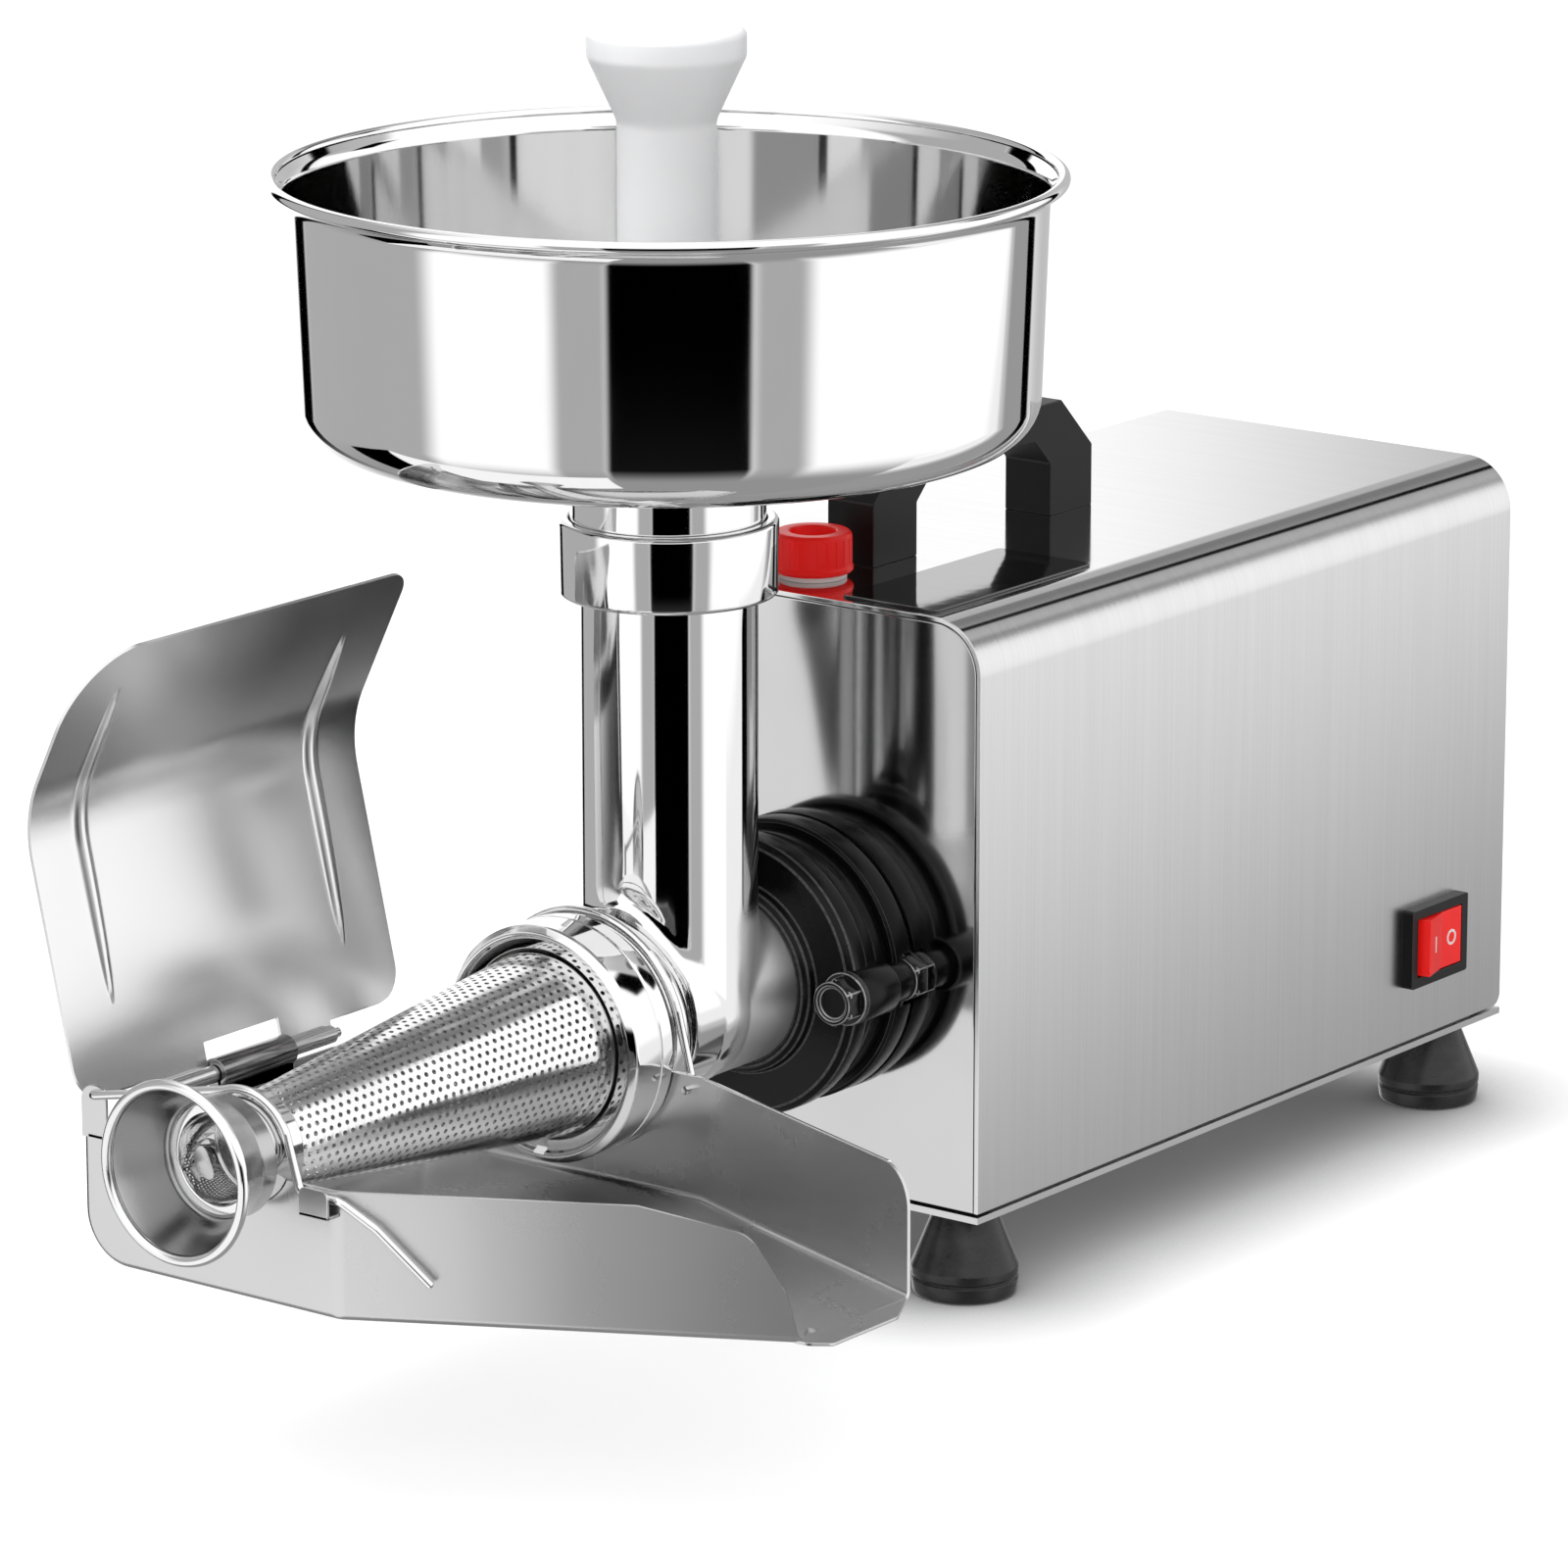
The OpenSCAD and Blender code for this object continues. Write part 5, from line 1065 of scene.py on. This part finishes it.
class PRESS_OT_screen(Build, bpy.types.Operator):
    """Builds the collar nut and the perforated cone with its plain ends and seam"""

    bl_idname = "press.screen"
    bl_label = "Nut and screen"

    def build(self, sizes):
        nut = turned("nut_ring", [
            (27.6, 116.8), (31.3, 116.8), (31.3, 103), (33.5, 103), (34.5, 104), (34.5, 108.4), (34.0, 109),
            (34.5, 109.6), (34.5, 119.6), (32.6, 121.5), (31.2, 121.5), (30.7, 120.0), (27.6, 120.0)],
            corner=[0.2, 0.2, 0.2, 0.3, 0.6, 0.3, 0.5, 0.3, 1.6, 0.7, 0.4, 0.3, 0.3], bend=4)
        notch = prism("notch", rect(-2, 66.2, 2, 70.4), -118.4, -124, "xz")
        piece("nut_ring", cut("nut_ring", nut, notch), "polished", "collar_nut")
        cell = self.cell(sizes.hole_radius / sizes.hole_pitch)
        mesh = grown("screen_holes", perforated_cone_tree(), "screen", cell, pitch=sizes.hole_pitch,
                     wide_radius=FOOT_R * MM, tip_radius=TIP_R * MM, length=(TIP - FOOT) * MM, wall=0.8 * MM,
                     plain_ends=3.2 * MM, facing=math.radians(65.0), rows=61, columns=47)
        # The tree rolls the sheet with its tip at zero, so the tip goes to its reach
        mesh.transform(Matrix.Translation(at(0, -TIP, AXIS_Z)))
        piece("screen_holes", mesh, "screen", "screen", sharp=50.0)
        for name, start, end in (("screen_foot", FOOT, 121.2), ("screen_tip", 239.3, TIP)):
            r0, r1 = (FOOT_R + 0.06 - (reach - FOOT) * SLOPE for reach in (start, end))
            band = turned(name, [(r0, start), (r1, end), (r1 - 0.95, end), (r0 - 0.95, start)], corner=0.1)
            piece(name, band, "screen", "screen", stands_in=False)
        self.seam()

    def cell(self, hole):
        """One hexagon of sheet, a millimetre wide, with a round hole in it"""
        bm = bmesh.new()
        ring = [bm.verts.new((x, y, 0)) for x, y in circle(MM * hole, 12)]
        rim = [bm.verts.new((x, y, 0)) for x, y in arc(MM * math.sqrt(1 / 3), 30, 330, 5)]
        for k in range(6):
            near, far = rim[k], rim[(k + 1) % 6]
            a, b, c = (ring[(2 * k + i) % 12] for i in (1, 2, 3))
            for corners in ([near, b, a], [near, far, b], [far, c, b]):
                bm.faces.new(corners)
        return from_bmesh("cell", bm, fix=False)

    def seam(self):
        """The lapped strip along the screen"""
        bm = bmesh.new()
        strips = []
        for reach in (117.0, 243.5):
            r = FOOT_R - (reach - FOOT) * SLOPE
            for out in (0.08, -0.9):
                angles = [math.radians(245) + side * 3.4 / r for side in (-1, -0.5, 0, 0.5, 1)]
                strips.append([bm.verts.new(at((r + out) * math.sin(a), -reach,
                                               AXIS_Z + (r + out) * math.cos(a))) for a in angles])
        a, b, c, d = strips
        for k in range(4):
            for one, two in ((a, c), (b, d), (a, b), (c, d)):
                bm.faces.new([one[k], one[k + 1], two[k + 1], two[k]])
        for k in (0, 4):
            bm.faces.new([a[k], c[k], d[k], b[k]])
        piece("screen_seam", from_bmesh("screen_seam", bm), "screen", "screen", stands_in=False)


class PRESS_OT_outlet(Build, bpy.types.Operator):
    """Builds the nose ring and the flared waste funnel"""

    bl_idname = "press.outlet"
    bl_label = "Nose ring and funnel"

    def build(self, sizes):
        ring = turned("nose_steel", [
            (13.8, 240), (15.2, 240), (15.2, 257.1), (16.4, 257.7), (16.4, 258.9), (15.2, 259.5),
            (12.8, 259.5), (12.8, 244), (13.35, 244)], corner=[0.1, 0.5, 0.2, 0.5, 0.5, 0.2, 0.4, 0.1, 0.1], bend=4)
        piece("nose_steel", ring, "polished", "nose_ring")
        mouth = (24.2, 275.4)
        outer = rounded([(15.3, 252.5), (17.3, 253.5), (17.3, 259.5), mouth], [0, 0.8, 4, 0], 8, closed=False)
        inner = rounded([(23.4, 275.4), (16.4, 260.5), (16.4, 257), (15.3, 256.5)], [0, 4, 0.2, 0], 8,
                        closed=False)
        piece("funnel_steel", turned("cone", outer + inner), "spun", "waste_funnel")
        rim = turned("funnel_rim", circle(1.6, 20, mouth))
        piece("funnel_rim", rim, "wire", "waste_funnel", stands_in=False)


# Corners of the tray in plan, from the front wall round by the spout
LEFT, FRONT, REAR, MOUTH, MOUTH_FRONT, MOUTH_REAR = -60.0, -246.0, -101.4, 142.0, -186.5, -137.43
TRAY_PLAN = [(LEFT, FRONT), (31.0, FRONT), (MOUTH, MOUTH_FRONT), (MOUTH, MOUTH_REAR), (43.0, REAR),
             (LEFT, REAR)]
TRAY_FLOOR, TRAY_RIM = 55.0, 91.5
# The lid's hinge: beside the barrel axis, and up
HINGE = (-61.4, 94.6)


def across(x, y, degrees, side=1):
    """Puts an outline of (along a wall, up, across it) at a corner of the tray"""
    c, s = math.cos(math.radians(degrees)), math.sin(math.radians(degrees))
    return lambda u, v, w: at(x + u * c - side * w * s, y + u * s + side * w * c, TRAY_FLOOR + v)


class PRESS_OT_tray(Build, bpy.types.Operator):
    """Builds the folded juice tray with its spout, saddles, hooks and hinge knuckle"""

    bl_idname = "press.tray"
    bl_label = "Tray"

    def build(self, sizes):
        small = [edged("small", m, 0.2 * MM, 50) for m in self.fittings()]
        sheet = cut("tray_sheet", self.folded(), *self.tools(sizes))
        sheet = edged("tray_sheet", sheet, sizes.sheet_edge, 60)
        piece("tray_sheet", joined("tray_sheet", sheet, *small), "satin", "tray", flat=True)
        knuckle = turned("knuckle", rect(1.6, 158.5, sizes.knuckle_radius / MM, 189.5), centre=HINGE,
                         steps=48, corner=0.3)
        strap = prism("strap", rect(LEFT, -189.5, LEFT + 1, -158.5), 88, 94.4)
        piece("tray_knuckle", joined("tray_knuckle", knuckle, strap), "knuckle", "tray", stands_in=False)
        # A folded hem along the chute wall's rim, which ends before the mouth
        short = sizes.chute_corner / MM - 1
        run = [(LEFT, REAR), (43.0, REAR), (MOUTH - short, MOUTH_REAR + 0.03 + short * 0.364)]
        hem = wire_mesh("hem", [(x, y, TRAY_RIM - 0.6) for x, y in run], 0.85, 12)
        piece("tray_hem", hem, "wire", "tray", stands_in=False)

    def folded(self):
        """The open sheet with its folds and its two rounded corners"""
        bm = bmesh.new()
        bm.from_mesh(prism("tray_block", TRAY_PLAN, TRAY_FLOOR, TRAY_RIM))

        def place(v):
            return v.co.x / MM - AXIS_X, v.co.y / MM - PANEL_Y, v.co.z / MM

        def all_at(item, axis, value):
            return all(abs(place(v)[axis] - value) < 0.05 for v in item.verts)

        openings = [f for f in bm.faces if all_at(f, 2, TRAY_RIM)]
        openings += [f for f in bm.faces if all_at(f, 0, MOUTH)]
        bmesh.ops.delete(bm, geom=openings, context="FACES_ONLY")
        far = [e for e in bm.edges if all_at(e, 2, TRAY_FLOOR) and all_at(e, 0, LEFT)]
        bmesh.ops.bevel(bm, geom=far, offset=15 * MM, segments=14, profile=0.5, affect="EDGES")
        folds = [e for e in bm.edges if len(e.link_faces) == 2 and e.calc_face_angle() > 0.35]
        bmesh.ops.bevel(bm, geom=folds, offset=2.4 * MM, segments=5, profile=0.5, affect="EDGES")
        return with_modifiers("tray_sheet", from_bmesh("tray_sheet", bm), (
            "SOLIDIFY", {"thickness": 1.0 * MM, "offset": -1.0, "use_even_offset": True}))

    def tools(self, sizes):
        """What is cut away: the falling rim by the spout, the chute's corner and the two saddles"""
        h = TRAY_RIM - TRAY_FLOOR
        rim = rounded([(14, 0), (0, 0), (-4, 0.4 * h), (-9.1, 0.62 * h), (-13.9, 0.82 * h), (-48.6, h + 1),
                       (14, h + 1)], [0, 3, 10, 8, 12, 0, 0], 6)
        r = sizes.chute_corner / MM
        corner = [(-3, h - r)] + arc(r, 180, 90, 12, (r, h - r)) + [(r, h + 3), (-3, h + 3)]
        return (prism("rim_tool", rim, -12, 12, across(MOUTH, MOUTH_FRONT, 28.2)),
                prism("corner_tool", corner, -12, 12, across(MOUTH, MOUTH_REAR, 160, -1)),
                rod("saddle", 15.4, 240, 250), rod("saddle", 31.3, 95, 107))

    def fittings(self):
        """The ear that holds the front bail, the spout's lip, and a hook with its foot at each end"""
        ear = prism("ear", rounded(rect(LEFT, 90.5, -51, 105.5), [0, 0, 4, 4], 5), FRONT, FRONT + 1, "xz")
        tongue = rounded([(139.8, -139.2), (MOUTH, -138.6), (148, -151), (148, -180), (144, -186.2),
                          (139.8, -186.4)], [0, 1.5, 4, 4, 3, 0], 6)
        lip = prism("lip", tongue, TRAY_FLOOR, TRAY_FLOOR + 1)
        for v in lip.vertices:
            v.co.z -= max(v.co.x / MM - AXIS_X - MOUTH, 0) ** 2 / 36 * MM
        hooks = []
        for x, y, foot_start, foot_end in ((22, -250.65, -250.65, -245.5), (-43.5, -98, -101.9, -97.5)):
            hooks.append(prism("hook", rounded(rect(x, 84.5, x + 10, 92.5), [0, 0, 2, 2], 4), y, y + 1, "xz"))
            hooks.append(prism("hook_foot", rect(x, foot_start, x + 10, foot_end), 84.5, 85.5))
        return ear, lip, *hooks


class PRESS_OT_lid(Build, bpy.types.Operator):
    """Builds the bent lid with its two pressed ribs, window and knuckles"""

    bl_idname = "press.lid"
    bl_label = "Lid"

    front, rear, mid = -242.5, -105.5, -174.0
    # The sheet's run: flat from the hinge, then bent, then flat to its upper edge
    flat, bend_r, bend, upper = 72.0, 35.0, math.radians(39), 41.0
    lean, face = math.radians(13), -2.4
    arc = bend_r * bend
    total = flat + arc + upper
    # The tongue by the hinge, the window in it, and how far they run
    tongue, window = 37, 15.9
    tongue_end, window_end = 3.6, 9.2

    def build(self, sizes):
        mesh = self.sheet(sizes)
        up = mesh.polygons[len(mesh.polygons) // 2].normal.x
        mesh = with_modifiers("lid_sheet", mesh, ("SOLIDIFY", {
            "thickness": 1.0 * MM, "offset": 1.0 if up > 0 else -1.0, "use_even_offset": True}))
        mesh = edged("lid_sheet", mesh, sizes.sheet_edge, 60)
        knuckles = [turned("knuckle", rect(1.6, -y - 9.5, 2.6, -y + 9.5), centre=HINGE, steps=48, corner=0.2)
                    for y in (self.mid - 25.4, self.mid + 25.4)]
        piece("lid_sheet", joined("lid_sheet", mesh, *knuckles), "lid", "lid", flat=True)
        piece("pin_steel", rod("pin", 1.5, 136, 212, centre=HINGE, steps=32, corner=0.5), "wire", "lid_pin")

    def profile(self, s):
        """Point and lean of the outer face, at a run of s from the hinge"""
        a = min(max(s - self.flat, 0) / self.bend_r, self.bend)
        r = max(s - self.flat - self.arc, 0)
        x = self.face + self.bend_r * (1 - math.cos(a)) + r * math.sin(a)
        z = min(s, self.flat) + self.bend_r * math.sin(a) + r * math.cos(a)
        c, d = math.cos(self.lean), math.sin(self.lean)
        return HINGE[0] + x * c - z * d, HINGE[1] + x * d + z * c, a

    def spread(self, s):
        """Front and rear ends of the sheet at that run"""

        def bite(r, past):
            """How far a rounded corner draws the edge back"""
            return r - math.sqrt(max(r * r - past ** 2, 0)) if past > 0 else 0

        if s < self.tongue_end:
            return self.mid - self.tongue, self.mid + self.tongue
        low = bite(10, self.tongue_end + 10 - s)
        return (self.front + low + bite(24, s - self.total + 24),
                self.rear - low - bite(7, s - self.total + 7))

    def sheet(self, sizes):
        """The outer face, with both ribs and the window"""
        front, rear, mid, total = self.front, self.rear, self.mid, self.total
        # Each rib: its place along the hinge, and the run that it starts and ends at
        ribs = ((front + 20, 30, 122), (rear - 20, 25, 117))
        ys = sorted({front, rear, mid - self.tongue, mid + self.tongue, mid - self.window, mid + self.window}
                    | {front + 137 * k / 70 for k in range(71)}
                    | {rib[0] + 0.35 * k for rib in ribs for k in range(-14, 15)})
        runs = sorted({0, 1.6, self.tongue_end, self.window_end}
                      | {3.6 + 0.8 * k for k in range(1, 13)}
                      | {14 + (total - 14 - 24) * k / 60 for k in range(61)}
                      | {total - 24 + 24 * math.sin(math.pi / 2 * k / 20) for k in range(21)})
        bm = bmesh.new()
        grid = []
        for s in runs:
            lo, hi = self.spread(s)
            x, z, a = self.profile(s)
            facing = a - self.lean
            row = []
            for y in (min(max(y, lo), hi) for y in ys):
                lift = 0.0
                for centre, start, end in ribs:
                    if start < s < end:
                        full = math.sin(math.pi * ((s - start) / (end - start))) ** 0.35
                        wide = sizes.rib_width / MM / 2 * max(full, 0.3)
                        lift += sizes.rib_height / MM * full * math.exp(-((y - centre) / wide) ** 2)
                row.append(bm.verts.new(at(x + lift * math.cos(facing), y, z - lift * math.sin(facing))))
            grid.append(row)
        for i in range(len(runs) - 1):
            for j in range(len(ys) - 1):
                aside = abs((ys[j] + ys[j + 1]) / 2 - mid)
                if (runs[i] < 3.5 and aside >= self.tongue) or (runs[i] < 9.1 and aside < self.window):
                    continue
                spots = []
                for v in (grid[i][j], grid[i][j + 1], grid[i + 1][j + 1], grid[i + 1][j]):
                    if all((v.co - w.co).length > 1e-6 for w in spots):
                        spots.append(v)
                if len(spots) > 2:
                    bm.faces.new(spots)
        bmesh.ops.remove_doubles(bm, verts=bm.verts, dist=2e-6)
        bmesh.ops.delete(bm, geom=[v for v in bm.verts if not v.link_faces], context="VERTS")
        return from_bmesh("lid_sheet", bm)


class PRESS_OT_bails(Build, bpy.types.Operator):
    """Builds both wire bails that hold the tray"""

    bl_idname = "press.bails"
    bl_label = "Wire bails"

    def build(self, sizes):
        front, rear = -247.55, -99.85
        start = [(56, -236.5, 67.5), (43, -243.5, 82.5), (34, front, 89.5), (20, front, 89.5)]
        end = [(-55.5, front, 103), (-55.5, -242.5, 103)]
        self.bail("front_bail", start, (16.75, 25, 112), end, front, 3.2)
        start = [(38.5, -103.9, 87.5), (38.5, rear, 87.5)]
        end = [(-38.5, rear, 87.5), (-50.5, rear, 87.5), (-56.5, rear, 81.5)]
        self.bail("rear_bail", start, (34.55, 18, 162), end, rear, 3.0)

    def bail(self, node, start, bow, end, y, corner):
        """A wire from its start, over a bow of (radius, first angle, last angle), to its end"""
        over = [(x, y, z) for x, z in arc(*bow, 28, (0, AXIS_Z))]
        route = rounded(start + over + end, corner, 6, closed=False)
        piece(node + "_wire", wire_mesh(node + "_wire", route, 1.25), "wire", node)


class PRESS_OT_hopper(Build, bpy.types.Operator):
    """Builds the hopper with its rolled rim and neck"""

    bl_idname = "press.hopper"
    bl_label = "Hopper"

    def build(self, sizes):
        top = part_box("hopper")[1].z / MM
        low, neck = top - 76, COLLAR_TOP - 16.2
        outer = rounded([(27.9, low - 3), (80, low - 0.9), (105, low), (107.5, top - 5.4),
                         (111.2, top - 1.8)], [0, 40, 14, 5, 0], 12, closed=False)
        inner = rounded([(110.6, top - 0.9), (106.7, top - 5.0), (104.1, low + 0.9), (80, low),
                         (27.9, low - 2.1)], [0, 5, 13.1, 40, 0], 12, closed=False)
        bowl = turned("bowl", outer + inner + [(24.5, low - 2.1), (24.5, neck), (27.9, neck)], "up", FEED)
        rim = turned("rim", circle(1.8, 24, (111.2, top - 1.8)), "up", FEED)
        piece("hopper_bowl", joined("hopper_bowl", bowl, rim), "bowl", "hopper")


class PRESS_OT_pusher(Build, bpy.types.Operator):
    """Builds the pusher with its flange and waisted knob"""

    bl_idname = "press.pusher"
    bl_label = "Pusher"

    def build(self, sizes):
        low, top = (corner.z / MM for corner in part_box("pusher"))
        seat = low + 89
        mesh = turned("pusher_white", [
            (0, seat - 89), (16.2, seat - 89), (16.2, seat), (28, seat), (28, seat + 14), (14, seat + 14),
            (14, top - 26), (22.5, top - 7.8), (22.5, top), (0, top)],
            "up", FEED, 128, [0, 2.2, 1.5, 4, 4, 3, 7, 5, 2.4, 0], 6, closed=False)
        piece("pusher_white", mesh, "white", "pusher")


# The solids that stay, by their finish
INNER = {
    "brushed": ("rear_panel",),
    "screw": ("base_screws", "foot_screws", "handle_screws"),
    "bezel": ("cord_gland", "motor_fan"),
    "cast": ("gearbox_case", "gearbox_cover"),
    "gear": ("gearbox_bearings", "output_shaft", "output_gear", "idler_gear", "motor_pinion", "motor_rotor"),
    "laminate": ("motor_stator",),
    "painted": ("motor_case", "motor_bracket"),
    "gasket": ("capacitor", "screen_gasket"),
    "rubber": ("oil_seal",),
    "screen": ("auger",),
}


class PRESS_OT_inner(Build, bpy.types.Operator):
    """Gives the solids that stay their own finishes"""

    bl_idname = "press.inner"
    bl_label = "Inner pieces"

    def build(self, sizes):
        for name, nodes in INNER.items():
            for slot in (slot for node in nodes for slot in FRAME["nodes"][node].material_slots):
                slot.material = finish(name)


# Stage


def studio_world():
    """White to the camera, even to matt surfaces, and a studio of dark and light screens to metal"""
    world = bpy.data.worlds.new("studio")
    bpy.context.scene.world = world
    world.use_nodes = True
    g = Graph(world.node_tree)
    g.tree.nodes.clear()
    x, y, z = g.axes(g.add("ShaderNodeTexCoord")["Generated"])
    # Degrees round from where the camera stands
    turn = (y.atan2(x) * (180 / math.pi) + 52.7 + 180.0) % 360.0 - 180.0
    shade = 1.0 - 0.62 * turn.step(-143, -138) * (1 - turn.step(-82, -72))
    shade = shade - 0.62 * turn.band(-34.5, -17, 6)
    shade = shade * (1 - turn.band(-17.5, 26.5, 2.5))
    shade = shade * (1 - 0.62 * turn.band(26.5, 45, 8))
    shade = shade * (1 - 0.55 * turn.step(128, 160) * (1 - turn.step(174.0, 178.5)))
    shade = shade * (1 - turn.band(140, 147, 2)) * (1 - turn.band(-149, -140, 2))
    # Two flags that draw the dark line and the grey band along the housing's bend
    shade = shade * (1 - turn.band(108, 121, 3) * z.band(0.40, 0.62, 0.04))
    shade = shade * (1 - 0.55 * turn.band(121, 166, 4) * z.band(0.40, 0.80, 0.06))
    # Above the eye the front screens are white, so that the housing's flat top doesn't turn black from behind
    shade = shade + (1 - shade) * z.step(0.10, 0.20) * turn.band(-60, 60, 8)
    high = z.step(0.6, 0.95)
    low = (-z).step(0.3, 0.75)
    shade = (shade * (1 - high) + high) * 1.28
    shade = shade * (1 - low) + 0.35 * low
    path = g.add("ShaderNodeLightPath")
    plain = 0.34 + 0.50 * z.step(0.0, 0.8)
    seen = g.mix(path["Is Glossy Ray"], g.grey(plain, plain * 1.015), g.grey(shade))
    seen = g.mix(path["Is Camera Ray"], seen, (1, 1, 1, 1))
    back = g.add("ShaderNodeBackground", {"Color": seen, "Strength": 1.0})
    g.add("ShaderNodeOutputWorld", {"Surface": back[0]})


def floor_material(tint):
    """A pale floor that keeps the shadow, lifted to white for the camera by a glow with a painted contact shadow,
    and lets metal see the studio
    """
    f = Finish("floor_pale")
    path = f.add("ShaderNodeLightPath")
    matt = f.add("ShaderNodeBsdfDiffuse", {"Color": f.tinted(f.noise(0.004), tint, 1.0, 0.985)})
    bright = f.add("ShaderNodeBsdfDiffuse", {"Color": (0.40, 0.40, 0.40, 1.0)})
    # Ambient occlusion dims the glow near other things: a painted contact shadow under the housing and its feet
    near = f.add("ShaderNodeAmbientOcclusion", {"Distance": 0.05}, samples=8)["AO"]
    glow = f.add("ShaderNodeEmission", {"Color": (1, 1, 1, 1), "Strength": 0.78 * near ** 2.6})
    both = f.add("ShaderNodeAddShader", {0: bright[0], 1: glow[0]})
    clear = f.add("ShaderNodeBsdfTransparent")
    camera = f.add("ShaderNodeMixShader", {0: path["Is Camera Ray"], 1: matt[0], 2: both[0]})
    return f.end(f.add("ShaderNodeMixShader", {0: path["Is Glossy Ray"], 1: camera[0], 2: clear[0]}))


def sheet_on_stage(name, corners, material):
    """A sheet of the stage with four corners"""
    mesh = bpy.data.meshes.new(name)
    mesh.from_pydata(corners, [], [(0, 1, 2, 3)])
    mesh.materials.append(material)
    obj = shown(name, mesh)
    return obj


def card(name, corners, glow):
    """A studio card that only polished metal sees. Its glow is made from the height and the depth"""
    f = Finish(name)
    _, y, z = f.axes(f.place())
    light = f.add("ShaderNodeEmission", {"Color": (1, 1, 1, 1), "Strength": glow(y, z)})
    obj = sheet_on_stage(name, [at(*c) for c in corners], f.end(light))
    for ray in ("camera", "diffuse", "transmission", "volume_scatter", "shadow"):
        setattr(obj, "visible_" + ray, False)


def side_glow(y, z):
    """Bright above and in front, grey below and behind: what the housing's side reflects"""
    fall = (43 - z) / 176 + 0.25 * (y - PANEL_Y - 506) / 282
    return 1.07 - 0.42 * fall.step(0.55, 0.9) - 0.28 * fall.step(0.9, 1.5) + 0.2 * z.step(30, 75)


class PRESS_OT_stage(Build, bpy.types.Operator):
    """Sets the floor, the lamps, the world and the camera"""

    bl_idname = "press.stage"
    bl_label = "Stage"

    def build(self, sizes):
        scene = bpy.context.scene
        stage = scene.press_stage
        scene.view_settings.view_transform = "Standard"
        sheet_on_stage("floor", [(x, y, 0) for x, y in rect(-6, -6, 6, 6)], floor_material(stage.floor))
        studio_world()
        card("side_card", [(450, y, z) for y, z in rect(150, -3000, 9000, 75)], side_glow)
        card("dark_card", [(-300, y, z) for y, z in rect(-330, -60, -190, 150)], lambda y, z: 0)
        card("front_card", [(x, -450, z) for x, z in rect(-500, -300, 150, 60)], lambda y, z: 1.15)
        centre = at(0, 0, 120)
        for name, place, size, power in (("key_lamp", (-0.35, -0.5, 1.15), 0.9, stage.key_power),
                                         ("fill_lamp", (1.0, -1.0, 0.7), 0.8, stage.fill_power)):
            data = bpy.data.lights.new(name, "AREA")
            data.shape = "RECTANGLE"
            data.size = data.size_y = size
            data.energy = power
            lamp = shown(name, data)
            lamp.location = centre + Vector(place)
            lamp.rotation_euler = Vector(place).to_track_quat("Z", "Y").to_euler()
            lamp.visible_glossy = False
        data = bpy.data.cameras.new("camera")
        data.lens = stage.lens
        data.sensor_width = 36
        data.clip_end = 20
        camera = shown("camera", data)
        away = Vector((0.58718, -0.77063, 0.24762)).normalized()
        target, distance = at(-1.9, -4.9, 149.9), 2.3402
        camera.location = target + away * distance
        camera.rotation_euler = away.to_track_quat("Z", "Y").to_euler()
        scene.camera = camera


BUILDERS = (PRESS_OT_housing, PRESS_OT_top, PRESS_OT_switch, PRESS_OT_flanges, PRESS_OT_casting,
            PRESS_OT_screen, PRESS_OT_outlet, PRESS_OT_tray, PRESS_OT_lid, PRESS_OT_bails, PRESS_OT_hopper,
            PRESS_OT_pusher, PRESS_OT_inner, PRESS_OT_stage)


class PRESS_PT_panel(bpy.types.Panel):
    """Sizes, colours and builders of the press"""

    bl_idname = "PRESS_PT_panel"
    bl_label = "Tomato press"
    bl_space_type = "VIEW_3D"
    bl_region_type = "UI"
    bl_category = "Press"

    def draw(self, context):
        for group in (context.scene.press_sizes, context.scene.press_colours, context.scene.press_stage):
            for key in group.__annotations__:
                self.layout.prop(group, key)
        for builder in BUILDERS:
            self.layout.operator(builder.bl_idname)


CLASSES = (PressSizes, PressColours, PressStage) + BUILDERS + (PRESS_PT_panel,)
GROUPS = {"press_sizes": PressSizes, "press_colours": PressColours, "press_stage": PressStage}


def register():
    for one in CLASSES:
        bpy.utils.register_class(one)
    for name, group in GROUPS.items():
        setattr(bpy.types.Scene, name, PointerProperty(type=group))


def unregister():
    for name in GROUPS:
        delattr(bpy.types.Scene, name)
    for one in reversed(CLASSES):
        bpy.utils.unregister_class(one)


def main():
    register()
    for builder in BUILDERS:
        area, name = builder.bl_idname.split(".")
        getattr(getattr(bpy.ops, area), name)()


if __name__ == "__main__":
    main()
